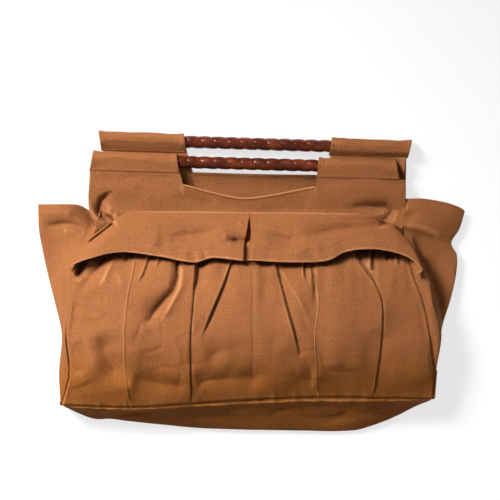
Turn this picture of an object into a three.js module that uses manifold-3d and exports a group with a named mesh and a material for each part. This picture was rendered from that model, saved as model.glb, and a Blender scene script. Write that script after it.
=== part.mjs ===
// A gathered canvas handbag with two leather-wound rod handles, lying on its back.
// Millimetres. X runs across the bag, Y from its base to its handles, and Z up from the surface it lies on.
import * as THREE from "three";
import { mergeVertices } from "three/addons/utils/BufferGeometryUtils.js";
import Module from "manifold-3d";

const wasm = await Module();
wasm.setup();

// Driving sizes

const CLOTH = 1.6; // canvas wall, two layers sewn as one
const SEAM_GAP = 0.5; // between two panels that meet at a seam
const FLAP_SEAM = 1; // between the yoke and the flap sewn below it
const LAP_GAP = 0.8; // between a panel and the one laid over it
const TOP_Y = 78; // top edge of the body, tucked under the front yoke
const YOKE_Y = 74; // seam line between yoke and flap
const PLEAT_LIFT = 4; // how far a box pleat stands above the front
const PLEAT_RAMP = 1.4; // half the width of a pleat's fold edge
const PLEAT_FADE = { from: 36, to: 66 }; // the pleats flatten here, under the flap
const PLEAT_AT_SEAM = 0.5; // share of a pleat's lift left where the base seam catches it
const SEAM_HOLD = 0.12; // share of the front's height over which the base seam holds folds flat
const SEAM_SAG = 0.35; // share of the front's height that follows the wandering base seam
const CROWN_POWER = 2.6; // how squarely the front turns down to its side seams
const CENTRE_X = 0.3; // middle of the bag's width, and below it the middle of its length
const CENTRE_Y = -0.65;

const ROD_RADIUS = 5.6;
const WRAP_RADIUS = 7;
const WRAP_PITCH = 14.7; // width of the leather strip along the rod
const WRAP_GROOVE = 0.9; // depth of the groove between two turns
const WRAP_TUCK = 12; // length of wrapping hidden in each casing
const RUNNING_GAP = 0.3;
const CASING_RADIUS = 9; // outside of the cloth loop around a rod
const CASING_TAIL = 13.5; // from the rod's axis back to the casing's stitch line
const CASING_LAP = 3; // how far a yoke's sheet runs into the casing's tail
const CASING_END = 7; // how far a rod stops short of its casing's outer end

const CANVAS = { color: 0xa9683f, roughness: 0.95, metalness: 0 };
const BASE_CANVAS = { color: 0x9c5f39, roughness: 0.95, metalness: 0 };
const LEATHER = { color: 0x5a2414, roughness: 0.45, metalness: 0 };
const WOOD = { color: 0xb08a5c, roughness: 0.7, metalness: 0 };

// A handle: where its rod's axis crosses the middle of the bag, how the rod leans, the spans of its
// two casings, and how high the stitch line lies against the axis.
const FRONT_HANDLE = {
  y: 128.5,
  z: 11.4,
  lean: -0.028,
  left: [-173, -78],
  right: [73, 160],
  tipZ: -1,
};
const REAR_HANDLE = {
  y: 150.7,
  z: CASING_RADIUS,
  lean: -0.031,
  left: [-168, -70],
  right: [88, 178],
  tipZ: -7.8,
};

// Sections across the front: side seams, the four fold edges of its two box pleats, and its heights.
const FRONT_SECTIONS = [
  { y: -131, left: -208, foldA: -133, foldB: -66, foldC: 72, foldD: 133, right: 200, crown: 54, edge: 45 },
  { y: -98, left: -199, foldA: -137, foldB: -68, foldC: 72, foldD: 137, right: 200, crown: 64, edge: 47 },
  { y: -60, left: -202, foldA: -138, foldB: -68, foldC: 70, foldD: 141, right: 196, crown: 66, edge: 46 },
  { y: -21, left: -197, foldA: -135, foldB: -65, foldC: 74, foldD: 141, right: 188, crown: 61, edge: 43 },
  { y: 6, left: -196, foldA: -130, foldB: -63, foldC: 70, foldD: 130, right: 178, crown: 54, edge: 38 },
  { y: 28, left: -191, foldA: -126, foldB: -62, foldC: 66, foldD: 116, right: 173, crown: 46, edge: 32 },
  { y: 52, left: -186, foldA: -117, foldB: -60, foldC: 62, foldD: 112, right: 168, crown: 36, edge: 26 },
  { y: TOP_Y, left: -177, foldA: -110, foldB: -56, foldC: 56, foldD: 104, right: 165, crown: 27, edge: 21 },
];

// The seam between front and base as it wanders along the bag.
const BASE_SEAM = [
  { x: -208, y: -137 },
  { x: -130, y: -139 },
  { x: -67, y: -135 },
  { x: 0, y: -131 },
  { x: 72, y: -128 },
  { x: 200, y: -130 },
];

// Furthest reach of the bulging base, seen from above.
const BASE_BULGE = [
  { x: -208, y: -138 },
  { x: -172, y: -153 },
  { x: -111, y: -160 },
  { x: -56, y: -164.5 },
  { x: 54, y: -165.5 },
  { x: 114, y: -165.5 },
  { x: 147, y: -158 },
  { x: 175, y: -145 },
  { x: 200, y: -131 },
];
const BASE_TUCK = 8; // how far the base turns back under its bulge to the floor
const BASE_CORNER = 0.12; // share of the width over which that tuck fades to the gussets' corners
// The base's section between its two seams: share of the way across, of the reach out to the bulge, and
// of the front seam's height.
const BASE_SECTION = [
  { across: 0.3, reach: 0.6, height: 0.68 },
  { across: 0.7, reach: 1, height: 0.33 },
];

// Sections of a side gusset: a ridge beside the front seam, a valley, the outer fold, and the back seam.
// stand is 1 where the gusset stands up as a wall and 0 where it lies folded as an ear.
const LEFT_GUSSET = [
  { y: -131, ridge: 1, valleyX: -209, valleyZ: 32, foldX: -209, foldZ: 20, backX: -203, stand: 1 },
  { y: -98, ridge: 4, valleyX: -209, valleyZ: 34, foldX: -211, foldZ: 22, backX: -200, stand: 1 },
  { y: -60, ridge: 4, valleyX: -207, valleyZ: 32, foldX: -208, foldZ: 20, backX: -196, stand: 0.9 },
  { y: -21, ridge: 4, valleyX: -208, valleyZ: 26, foldX: -217, foldZ: 13, backX: -190, stand: 0.4 },
  { y: 6, ridge: 5, valleyX: -211, valleyZ: 22, foldX: -224, foldZ: 8, backX: -185, stand: 0.1 },
  { y: 28, ridge: 6, valleyX: -211, valleyZ: 19, foldX: -229, foldZ: 6, backX: -181, stand: 0 },
  { y: 52, ridge: 8, valleyX: -211, valleyZ: 16, foldX: -234, foldZ: 6, backX: -178, stand: 0 },
  { y: TOP_Y, ridge: 8, valleyX: -206, valleyZ: 14, foldX: -235, foldZ: 7, backX: -175, stand: 0 },
];
const RIGHT_GUSSET = [
  { y: -131, ridge: 1, valleyX: 201, valleyZ: 32, foldX: 201, foldZ: 20, backX: 196, stand: 1 },
  { y: -98, ridge: 3, valleyX: 203, valleyZ: 34, foldX: 204, foldZ: 22, backX: 194, stand: 1 },
  { y: -60, ridge: 9, valleyX: 207, valleyZ: 30, foldX: 207, foldZ: 18, backX: 191, stand: 0.9 },
  { y: -21, ridge: 11, valleyX: 206, valleyZ: 17, foldX: 220, foldZ: 12, backX: 185, stand: 0.3 },
  { y: 6, ridge: 11, valleyX: 198, valleyZ: 13, foldX: 226, foldZ: 10, backX: 180, stand: 0 },
  { y: 28, ridge: 9, valleyX: 190, valleyZ: 13, foldX: 227, foldZ: 10, backX: 176, stand: 0 },
  { y: 42, ridge: 7, valleyX: 188, valleyZ: 16, foldX: 221, foldZ: 9, backX: 175, stand: 0 },
  { y: 58, ridge: 6, valleyX: 190, valleyZ: 17, foldX: 230, foldZ: 8, backX: 175, stand: 0 },
  { y: TOP_Y, ridge: 4, valleyX: 186, valleyZ: 15, foldX: 236, foldZ: 8, backX: 175, stand: 0 },
];
const RIDGE_DROP = 4; // from the front seam down to the gusset's ridge
const FLOOR_TURN = { ear: 0.14, wall: 0.4 }; // where a gusset meets the floor, from its fold to its back seam
const WALL_FOOT = 0.45; // height there, as a share of the fold's, where the gusset stands as a wall
const GUSSET_SKEW = 3; // how much higher a gusset's lower corner lies at the back than at the front
// How far each ear's top edge rises above TOP_Y at the section's points, from the front seam to the back.
const EAR_FROM = 0.7; // share of the gusset's height where that rise begins
const LEFT_EAR_RISE = [0, 3, 6, 6, 6, 6];
const RIGHT_EAR_RISE = [0, 8, 12, -3, -2, 6];

// Gathers and dents of the front: a line from (x0, y0) to (x1, y1), its height, its reach to either
// side, and the share of its length over which each end fades.
const FRONT_FOLDS = [
  { x0: -165, y0: 30, x1: -192, y1: -30, height: 4, reachA: 10, reachB: 14, fadeIn: 0.05, fadeOut: 0.6 },
  { x0: -146, y0: 34, x1: -168, y1: -20, height: -4, reachA: 9, reachB: 9, fadeIn: 0.05, fadeOut: 0.6 },
  { x0: -82, y0: 30, x1: -112, y1: -56, height: -4, reachA: 9, reachB: 10, fadeIn: 0.05, fadeOut: 0.5 },
  { x0: -20, y0: 30, x1: -56, y1: -76, height: -4, reachA: 11, reachB: 9, fadeIn: 0.05, fadeOut: 0.5 },
  { x0: 26, y0: 30, x1: 50, y1: -88, height: -4, reachA: 9, reachB: 11, fadeIn: 0.05, fadeOut: 0.4 },
  { x0: 158, y0: 30, x1: 170, y1: -22, height: -3, reachA: 9, reachB: 9, fadeIn: 0.05, fadeOut: 0.6 },
  { x0: -160, y0: -60, x1: -184, y1: -116, height: -4, reachA: 16, reachB: 16, fadeIn: 0.4, fadeOut: 0.4 },
  { x0: -128, y0: -104, x1: 20, y1: -98, height: -2.5, reachA: 13, reachB: 13, fadeIn: 0.3, fadeOut: 0.3 },
];

const YOKE_LAP = 2; // how far the front yoke lies on past the front's top edge
// Dents of the front yoke, where its lower corners are pinched by the ears.
const YOKE_FOLDS = [
  { x0: -150, y0: 98, x1: -166, y1: 68, height: -5, reachA: 7, reachB: 9, fadeIn: 0.4, fadeOut: 0.1 },
  { x0: 128, y0: 80, x1: 158, y1: 74, height: -4, reachA: 9, reachB: 8, fadeIn: 0.5, fadeOut: 0.2 },
];

// The flap: share of its width, its seam end, its hem end, and how high the hem stands off the front.
// The first and last rows turn its ends under.
const FLAP_SECTIONS = [
  { s: 0, topX: -172, hemX: -191, hemY: 5, lift: 3 },
  { s: 0.033, topX: -171, hemX: -199, hemY: 13, lift: 10 },
  { s: 0.1, topX: -145, hemX: -182, hemY: 22, lift: 14 },
  { s: 0.2, topX: -105, hemX: -144, hemY: 31, lift: 15 },
  { s: 0.3, topX: -73, hemX: -104, hemY: 27, lift: 11 },
  { s: 0.4, topX: -40, hemX: -56, hemY: 20, lift: 8 },
  { s: 0.45, topX: -22, hemX: -32, hemY: 25, lift: 9 },
  { s: 0.5, topX: 0, hemX: -1, hemY: 22, lift: 9 },
  { s: 0.6, topX: 35, hemX: 46, hemY: 20, lift: 8 },
  { s: 0.7, topX: 70, hemX: 84, hemY: 22, lift: 9 },
  { s: 0.78, topX: 97, hemX: 106, hemY: 32, lift: 12 },
  { s: 0.87, topX: 128, hemX: 140, hemY: 34, lift: 15 },
  { s: 0.93, topX: 150, hemX: 171, hemY: 26, lift: 12 },
  { s: 0.967, topX: 159, hemX: 187, hemY: 10, lift: 9 },
  { s: 1, topX: 160, hemX: 180, hemY: 5, lift: 3 },
];
const FLAP_ARCH = 2.5; // how far the flap bows out between its seam and its hem
const FLAP_PLEAT_DEPTH = 4.5; // centre inverted pleat
const FLAP_PLEAT_SIDE = 1.2; // width of each of its two sides
const FLAP_PLEAT_OPEN = 0.4; // share of the flap's drop over which it opens
const FLAP_PLEAT_WIDTHS = [
  { t: 0, half: 0.6 },
  { t: 0.5, half: 3.5 },
  { t: 0.75, half: 5 },
  { t: 1, half: 4.5 },
];

// Lower edge of the front yoke, which dips at its corners, and the edges of the two hand holes.
const YOKE_BOTTOM = [
  { x: -175, y: 60 },
  { x: -162, y: 68 },
  { x: -148, y: YOKE_Y },
  { x: 148, y: YOKE_Y },
  { x: 159, y: 69 },
  { x: 169, y: 62 },
];
// How far the yoke's side edges swing out along its height.
const YOKE_SWAY = [
  { y: 60, left: -2, right: 0 },
  { y: 74, left: 3, right: 2 },
  { y: 90, left: 4, right: 1.5 },
  { y: 108, left: 1, right: 1 },
  { y: 118, left: -2, right: -6 },
];
const FRONT_HOLE = [
  { x: -75, y: 106.5 },
  { x: -40, y: 97 },
  { x: -12, y: 91.5 },
  { x: 12, y: 93 },
  { x: 70, y: 104 },
];
const REAR_YOKE_SIDES = [-170, 172];
const REAR_HOLE = [
  { x: -64, y: 119 },
  { x: 4, y: 117 },
  { x: 76, y: 116 },
];

// Number of cells in each grid
const ROWS = 16;
const STRIP_CELLS = [5, 5, 11, 5, 5];
const GUSSET_CELLS = 12;
const FLAP_ROWS = 6;
const FLAP_CELLS = 15;
const YOKE_ROWS = 7;
const CASING_COLUMNS = 4;
const HOLE_COLUMNS = 11;
const CASING_ARC_STEPS = 14;
const WRAP_SIDES = 10;
const WRAP_STEPS_PER_TURN = 4;
const ROD_SIDES = 12;

const { lerp, clamp, smoothstep } = THREE.MathUtils;
const point = (x, y, z) => new THREE.Vector3(x, y, z);

// Inward directions of the five body panels: two that meet share the sum of theirs as their mitre.
const INWARD = {
  front: point(0, 0, -1),
  back: point(0, 0, 1),
  left: point(1, 0, 0),
  right: point(-1, 0, 0),
  base: point(0, 1, 0),
};

// A smooth curve through one column of a table, read along another column.
function columnCurve(table, along, column) {
  const xs = table.map((row) => row[along]);
  const ys = table.map((row) => row[column]);
  const slope = (i) => {
    const before = Math.max(i - 1, 0);
    const after = Math.min(i + 1, xs.length - 1);
    return (ys[after] - ys[before]) / (xs[after] - xs[before]);
  };
  return (x) => {
    const at = clamp(x, xs[0], xs.at(-1));
    let i = 0;
    while (i < xs.length - 2 && at > xs[i + 1]) i += 1;
    const span = xs[i + 1] - xs[i];
    const t = (at - xs[i]) / span;
    const rise = t * t * (3 - 2 * t);
    return (
      lerp(ys[i], ys[i + 1], rise) +
      span * t * (1 - t) * ((1 - t) * slope(i) - t * slope(i + 1))
    );
  };
}

// Straight pieces through one column of a table.
function straightCurve(table, along, column) {
  return (x) => {
    const after = clamp(table.findIndex((row) => row[along] > x), 1, table.length - 1);
    const i = x >= table.at(-1)[along] ? table.length - 1 : after;
    const [from, to] = [table[i - 1], table[i]];
    return THREE.MathUtils.mapLinear(x, from[along], to[along], from[column], to[column]);
  };
}

// Every column of a table as a curve along its first column.
function tableCurves(table) {
  const [along, ...columns] = Object.keys(table[0]);
  return Object.fromEntries(columns.map((name) => [name, columnCurve(table, along, name)]));
}

const front = tableCurves(FRONT_SECTIONS);
const baseSeamY = columnCurve(BASE_SEAM, "x", "y");
const baseBulgeY = columnCurve(BASE_BULGE, "x", "y");
const flapPleatHalf = columnCurve(FLAP_PLEAT_WIDTHS, "t", "half");
const flap = tableCurves(FLAP_SECTIONS);

// Height that a table of folds adds at a place: each fold is a ridge or a groove along its line.
function foldHeight(folds, x, y) {
  return folds.reduce((sum, fold) => {
    const dx = fold.x1 - fold.x0;
    const dy = fold.y1 - fold.y0;
    const length = Math.hypot(dx, dy);
    const t = ((x - fold.x0) * dx + (y - fold.y0) * dy) / length ** 2;
    const off = ((x - fold.x0) * dy - (y - fold.y0) * dx) / length;
    const reach = off < 0 ? fold.reachA : fold.reachB;
    const ends = smoothstep(t, -fold.fadeIn, fold.fadeIn) * (1 - smoothstep(t, 1 - fold.fadeOut, 1));
    return sum + fold.height * ends * Math.exp(-((off / reach) ** 2));
  }, 0);
}

// Outer height of the front without its pleats and folds: a crown that turns down to the side seams.
function frontCrown(x, y) {
  const left = front.left(y);
  const right = front.right(y);
  const across = clamp(Math.abs((2 * x - left - right) / (right - left)), 0, 1);
  return lerp(front.crown(y), front.edge(y), across ** CROWN_POWER);
}

// Solids from grids

function meshGeometry(points, index) {
  const geometry = new THREE.BufferGeometry();
  geometry.setFromPoints(points);
  geometry.setIndex(index);
  return geometry;
}

// A closed wall between two grids of points, the outer one facing out.
function wallGeometry(outer, inner) {
  const rows = outer.length;
  const columns = outer[0].length;
  const index = [];
  const quad = (a, b, c, d) => index.push(a, b, c, a, c, d);
  const at = (layer, row, column) => (layer * rows + row) * columns + column;
  for (let r = 0; r < rows - 1; r += 1) {
    for (let c = 0; c < columns - 1; c += 1) {
      quad(at(0, r, c), at(0, r, c + 1), at(0, r + 1, c + 1), at(0, r + 1, c));
      quad(at(1, r, c), at(1, r + 1, c), at(1, r + 1, c + 1), at(1, r, c + 1));
    }
  }
  for (let c = 0; c < columns - 1; c += 1) {
    const last = rows - 1;
    quad(at(0, 0, c), at(1, 0, c), at(1, 0, c + 1), at(0, 0, c + 1));
    quad(at(0, last, c), at(0, last, c + 1), at(1, last, c + 1), at(1, last, c));
  }
  for (let r = 0; r < rows - 1; r += 1) {
    const last = columns - 1;
    quad(at(0, r, 0), at(0, r + 1, 0), at(1, r + 1, 0), at(1, r, 0));
    quad(at(0, r, last), at(1, r, last), at(1, r + 1, last), at(0, r + 1, last));
  }
  return meshGeometry([...outer.flat(), ...inner.flat()], index);
}

// Outward direction at a grid point: columns run to the right and rows run up when seen from outside.
function gridNormal(grid, r, c) {
  const rows = grid.length - 1;
  const columns = grid[0].length - 1;
  const along = point().subVectors(grid[r][Math.min(c + 1, columns)], grid[r][Math.max(c - 1, 0)]);
  const up = point().subVectors(grid[Math.min(r + 1, rows)][c], grid[Math.max(r - 1, 0)][c]);
  return along.cross(up).normalize();
}

// A cloth wall under a grid of outer points. seams gives, for each edge that is sewn, the neighbour's
// inward direction: there the wall is mitred and stops half the seam gap short.
function panelGeometry(outer, own, seams) {
  const rows = outer.length - 1;
  const columns = outer[0].length - 1;
  const sewnAt = (r, c) =>
    [
      r === 0 && seams.bottom,
      r === rows && seams.top,
      c === 0 && seams.left,
      c === columns && seams.right,
    ].filter(Boolean);
  const inner = outer.map((line, r) =>
    line.map((p, c) => {
      const sewn = sewnAt(r, c);
      if (!sewn.length) return p.clone().addScaledVector(gridNormal(outer, r, c), -CLOTH);
      const mitre = sewn.reduce((sum, direction) => sum.add(direction), own.clone());
      return p.clone().addScaledVector(mitre, CLOTH);
    }),
  );
  const pullBack = (grid) =>
    grid.map((line, r) =>
      line.map((p, c) => {
        const moved = p.clone();
        const pull = (towards) =>
          moved.add(point().subVectors(towards, p).setLength(SEAM_GAP / 2));
        if (r === 0 && seams.bottom) pull(grid[1][c]);
        if (r === rows && seams.top) pull(grid[rows - 1][c]);
        if (c === 0 && seams.left) pull(line[1]);
        if (c === columns && seams.right) pull(line[columns - 1]);
        return moved;
      }),
    );
  return wallGeometry(pullBack(outer), pullBack(inner));
}

// A grid of rows by columns filled by a function of the two shares.
function makeGrid(rows, columns, place) {
  return Array.from({ length: rows + 1 }, (_, r) =>
    Array.from({ length: columns + 1 }, (_, c) => place(r / rows, c / columns, r, c)),
  );
}

// Body panels

// Columns across the front: each strip between two fold edges, lifted where it is a box pleat.
const STRIP_EDGES = ["left", "foldA", "foldB", "foldC", "foldD", "right"];
const FRONT_COLUMNS = STRIP_CELLS.flatMap((cells, strip) =>
  Array.from({ length: cells + 1 }, (_, i) => ({ strip, share: i / cells })),
);

function stripX(column, y) {
  const { strip, share } = column;
  const from = front[STRIP_EDGES[strip]](y) + (strip > 0 ? PLEAT_RAMP : 0);
  const to = front[STRIP_EDGES[strip + 1]](y) - (strip < STRIP_CELLS.length - 1 ? PLEAT_RAMP : 0);
  return lerp(from, to, share);
}

function frontOuterPoint(v, column) {
  const level = lerp(FRONT_SECTIONS[0].y, TOP_Y, v);
  const x = stripX(column, level);
  const sag = (baseSeamY(x) - FRONT_SECTIONS[0].y) * (1 - smoothstep(v, 0, SEAM_SAG));
  const y = level + sag;
  const flatten = 1 - smoothstep(y, PLEAT_FADE.from, PLEAT_FADE.to);
  const free = smoothstep(v, 0, SEAM_HOLD);
  const pleat = column.strip % 2 ? PLEAT_LIFT * lerp(PLEAT_AT_SEAM, 1, free) : 0;
  const folds = foldHeight(FRONT_FOLDS, x, y) * free;
  return point(x, y, frontCrown(x, level) + (pleat + folds) * flatten);
}

const frontGrid = Array.from({ length: ROWS + 1 }, (_, r) =>
  FRONT_COLUMNS.map((column) => frontOuterPoint(r / ROWS, column)),
);

// One section of a gusset: seam, ridge, valley, outer fold, floor and back seam, joined by a smooth curve.
function gussetSection(curves, seam, side, v) {
  const level = lerp(FRONT_SECTIONS[0].y, TOP_Y, v);
  const at = Object.fromEntries(Object.entries(curves).map(([name, curve]) => [name, curve(level)]));
  const floorX = lerp(at.foldX, at.backX, lerp(FLOOR_TURN.ear, FLOOR_TURN.wall, at.stand));
  const places = [
    [seam.x, seam.z],
    [seam.x + side * at.ridge, seam.z - RIDGE_DROP],
    [at.valleyX, at.valleyZ],
    [at.foldX, at.foldZ],
    [floorX, at.foldZ * WALL_FOOT * at.stand],
    [at.backX, 0],
  ];
  return new THREE.CatmullRomCurve3(places.map(([x, z]) => point(x, 0, z)));
}

function gussetGrid(table, rise, seamColumn, side) {
  const curves = tableCurves(table);
  const riseCurve = columnCurve(rise.map((up, i) => ({ share: i / (rise.length - 1), up })), "share", "up");
  return makeGrid(ROWS, GUSSET_CELLS, (v, g, r) => {
    const seam = frontGrid[r][seamColumn];
    const p = gussetSection(curves, seam, side, v).getPoint(g);
    const y = seam.y + GUSSET_SKEW * g * (1 - smoothstep(v, 0, SEAM_SAG));
    const top = riseCurve(g) * smoothstep(v, EAR_FROM, 1);
    return point(p.x, y + top, Math.max(p.z, 0));
  });
}

const leftGrid = gussetGrid(LEFT_GUSSET, LEFT_EAR_RISE, 0, -1);
const rightGrid = gussetGrid(RIGHT_GUSSET, RIGHT_EAR_RISE, FRONT_COLUMNS.length - 1, 1);

// Lower edge of the back: under the base's bulge, and at its two corners where the gussets end.
function backEdgePoint(share) {
  const left = leftGrid[0].at(-1);
  const right = rightGrid[0].at(-1);
  const x = lerp(left.x, right.x, share);
  const corner = lerp(left.y, right.y, share);
  const inside = smoothstep(Math.min(share, 1 - share), 0, BASE_CORNER);
  return point(x, lerp(corner, baseBulgeY(x) + BASE_TUCK, inside), 0);
}

const frontShares = frontGrid[0].map(
  (p) => (p.x - frontGrid[0][0].x) / (frontGrid[0].at(-1).x - frontGrid[0][0].x),
);

// Section of the base from the front seam over its bulge to the back seam.
function baseSection(share, frontPoint) {
  const low = backEdgePoint(share);
  const between = BASE_SECTION.map(({ across, reach, height }) => {
    const x = lerp(frontPoint.x, low.x, across);
    return point(x, lerp(frontPoint.y, baseBulgeY(x), reach), frontPoint.z * height);
  });
  return new THREE.CatmullRomCurve3([frontPoint, ...between, low]);
}

const baseGrid = makeGrid(GUSSET_CELLS, FRONT_COLUMNS.length - 1, (w, _, r, c) => {
  const share = frontShares[c];
  const last = FRONT_COLUMNS.length - 1;
  if (c === 0) return leftGrid[0][r].clone();
  if (c === last) return rightGrid[0][r].clone();
  const p = baseSection(share, frontGrid[0][c]).getPoint(w);
  return point(p.x, p.y, Math.max(p.z, 0));
});

// Grids that run the other way round are turned so that they face out.
const mirrored = (grid) => grid.map((line) => [...line].reverse());

const frontPanel = panelGeometry(frontGrid, INWARD.front, {
  bottom: INWARD.base,
  left: INWARD.left,
  right: INWARD.right,
});
const gussetLeft = panelGeometry(mirrored(leftGrid), INWARD.left, {
  bottom: INWARD.base,
  left: INWARD.back,
  right: INWARD.front,
});
const gussetRight = panelGeometry(rightGrid, INWARD.right, {
  bottom: INWARD.base,
  left: INWARD.front,
  right: INWARD.back,
});
const basePanel = panelGeometry([...baseGrid].reverse(), INWARD.base, {
  bottom: INWARD.back,
  top: INWARD.front,
  left: INWARD.left,
  right: INWARD.right,
});

// The back lies flat: a plate between its two side seams, with the base seam below it.
function backGeometry() {
  const topY = YOKE_Y - SEAM_GAP;
  const sideEdge = (grid) => {
    const edge = grid.map((line) => line.at(-1));
    const rows = edge.filter((p) => p.y < topY);
    const [below, above] = [rows.at(-1), edge[rows.length]];
    return [...rows, below.clone().lerp(above, (topY - below.y) / (above.y - below.y))];
  };
  const left = sideEdge(leftGrid);
  const right = sideEdge(rightGrid);
  const low = frontShares.slice(1, -1).map(backEdgePoint);
  // The outline runs from the left corner along the base, up the right side, and down the left side.
  const sewn = [
    ...left.slice(0, 1).map((p) => [p, INWARD.left, INWARD.base]),
    ...low.map((p) => [p, INWARD.base]),
    ...right.slice(0, 1).map((p) => [p, INWARD.right, INWARD.base]),
    ...right.slice(1).map((p) => [p, INWARD.right]),
    ...left.slice(1).reverse().map((p) => [p, INWARD.left]),
  ];
  const mitres = sewn.map(([, ...towards]) =>
    towards.reduce((sum, direction) => sum.add(direction), point()),
  );
  const outer = sewn.map(([p], i) => p.clone().addScaledVector(mitres[i], SEAM_GAP / 2));
  const inner = outer.map((p, i) => p.clone().addScaledVector(mitres[i].clone().add(INWARD.back), CLOTH));
  const count = outer.length;
  const corner = low.length + 1;
  const rightAt = (row) => corner + row;
  const leftAt = (row) => count - row;
  const index = [];
  const plate = (a, b, c) => index.push(a, c, b, a + count, b + count, c + count);
  const middle = Math.floor(corner / 2);
  for (let i = 0; i < corner; i += 1) plate(i, i + 1, i < middle ? leftAt(1) : rightAt(1));
  plate(middle, rightAt(1), leftAt(1));
  for (let row = 1; row < right.length - 1; row += 1) {
    plate(leftAt(row), rightAt(row), rightAt(row + 1));
    plate(leftAt(row), rightAt(row + 1), leftAt(row + 1));
  }
  for (let i = 0; i < count; i += 1) {
    const j = (i + 1) % count;
    index.push(i, j, j + count, i, j + count, i + count);
  }
  return meshGeometry([...outer, ...inner], index);
}

const backPanel = backGeometry();

// Flap

// Columns of the flap: the left half, the sunk middle of the inverted pleat, and the right half.
const FLAP_COLUMNS = [
  ...Array.from({ length: FLAP_CELLS }, (_, i) => ({ share: (0.5 * i) / FLAP_CELLS, off: 0, sunk: 0 })),
  { share: 0.5, off: -1, sunk: 0 },
  { share: 0.5, off: -1, sunk: 1 },
  { share: 0.5, off: 1, sunk: 1 },
  { share: 0.5, off: 1, sunk: 0 },
  ...Array.from({ length: FLAP_CELLS }, (_, i) => ({
    share: 0.5 + (0.5 * (i + 1)) / FLAP_CELLS,
    off: 0,
    sunk: 0,
  })),
];
const yokeBottomY = straightCurve(YOKE_BOTTOM, "x", "y");

function flapPoint(t, column) {
  const topX = flap.topX(column.share);
  const half = flapPleatHalf(t) + (column.sunk ? 0 : FLAP_PLEAT_SIDE);
  const x = lerp(topX, flap.hemX(column.share), t) + column.off * half;
  const y = lerp(yokeBottomY(topX) - FLAP_SEAM, flap.hemY(column.share), t);
  const lift = flap.lift(column.share) * Math.sqrt(t) + FLAP_ARCH * 4 * t * (1 - t);
  const sunk = column.sunk * FLAP_PLEAT_DEPTH * smoothstep(t, 0, FLAP_PLEAT_OPEN);
  return point(x, y, frontCrown(x, y) + CLOTH + LAP_GAP + lift - sunk);
}

const flapGrid = makeGrid(FLAP_ROWS, FLAP_COLUMNS.length - 1, (up, _, r, c) =>
  flapPoint(1 - up, FLAP_COLUMNS[c]),
);
const frontFlap = panelGeometry(flapGrid, INWARD.front, {});

// Yokes and handles

const axisY = (handle, x) => handle.y + handle.lean * x;

// Places across a yoke's sheet: its two casings and the hand hole between them. side is 1 at the
// yoke's outer edges and fades to 0 at the hand hole.
function yokeColumns(handle, hole, leftX, rightX) {
  const casingTop = (x) => axisY(handle, x) - CASING_TAIL + CASING_LAP;
  const holeY = columnCurve(hole, "x", "y");
  const spread = (from, to, count) =>
    Array.from({ length: count }, (_, i) => lerp(from, to, i / (count - 1)));
  const [leftOuter, leftInner, rightInner, rightOuter] = YOKE_BOTTOM.slice(1, -1).map((row) => row.x);
  const leftXs = [leftX, leftOuter, ...spread(leftInner, handle.left[1], CASING_COLUMNS)];
  const rightXs = [...spread(handle.right[0], rightInner, CASING_COLUMNS), rightOuter, rightX];
  const holeXs = spread(hole[0].x, hole.at(-1).x, HOLE_COLUMNS);
  return [
    ...leftXs.map((x) => ({ x, top: casingTop(x), side: 1 - smoothstep(x, leftX, handle.left[1]) })),
    ...holeXs.map((x) => ({ x, top: holeY(x), side: 0 })),
    ...rightXs.map((x) => ({ x, top: casingTop(x), side: smoothstep(x, handle.right[0], rightX) })),
  ];
}

// A drop in the Y-Z plane: a round of the given radius with straight sides drawn to a point.
function dropPath(path, radius, tip) {
  const away = tip.angle();
  const spread = Math.acos(radius / tip.length());
  path.moveTo(tip.x, tip.y);
  path.lineTo(radius * Math.cos(away + spread), radius * Math.sin(away + spread));
  path.absarc(0, 0, radius, away + spread, away + 2 * Math.PI - spread, false);
  path.closePath();
  return path;
}

// The cloth loop around a rod: a drop-shaped ring, pointed at the stitch line.
function casingGeometry(handle, [fromX, toX]) {
  const tip = new THREE.Vector2(-CASING_TAIL, handle.tipZ);
  const hollow = CASING_RADIUS - CLOTH;
  const ring = dropPath(new THREE.Shape(), CASING_RADIUS, tip);
  ring.holes.push(dropPath(new THREE.Path(), hollow, tip.clone().multiplyScalar(hollow / CASING_RADIUS)));
  const geometry = new THREE.ExtrudeGeometry(ring, {
    depth: toX - fromX,
    bevelEnabled: false,
    curveSegments: CASING_ARC_STEPS,
  });
  // The drawing's x and y become Y and Z, and its depth becomes X.
  const lay = new THREE.Matrix4().makeBasis(point(0, 1, 0), point(0, 0, 1), point(1, 0, 0));
  const lean = new THREE.Matrix4().makeRotationZ(Math.atan(handle.lean));
  return geometry
    .applyMatrix4(lay)
    .translate(fromX, 0, 0)
    .applyMatrix4(lean)
    .translate(0, handle.y, handle.z);
}

function solidOf(geometry) {
  const bare = geometry.index ? geometry.toNonIndexed() : geometry.clone();
  bare.deleteAttribute("normal");
  bare.deleteAttribute("uv");
  const merged = mergeVertices(bare, 1e-4);
  return new wasm.Manifold(
    new wasm.Mesh({
      numProp: 3,
      vertProperties: merged.attributes.position.array,
      triVerts: new Uint32Array(merged.index.array),
    }),
  );
}

function geometryOf(solid) {
  const mesh = solid.getMesh();
  const geometry = new THREE.BufferGeometry();
  geometry.setAttribute("position", new THREE.Float32BufferAttribute(mesh.vertProperties, 3));
  geometry.setIndex([...mesh.triVerts]);
  return geometry;
}

// A yoke is one cloth: its sheet and the two casings sewn from its upper edge.
function yokeGeometry(handle, columns, rows, bottomY, placeAt) {
  const grid = makeGrid(rows, columns.length - 1, (t, _, r, c) => {
    const column = columns[c];
    return placeAt(column.x, lerp(bottomY(column.x), column.top, t), column.side);
  });
  const sheet = solidOf(panelGeometry(grid, INWARD.front, {}));
  const casings = [handle.left, handle.right].map((span) => solidOf(casingGeometry(handle, span)));
  return geometryOf(sheet.add(casings[0]).add(casings[1]));
}

const yokeSway = tableCurves(YOKE_SWAY);

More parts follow.
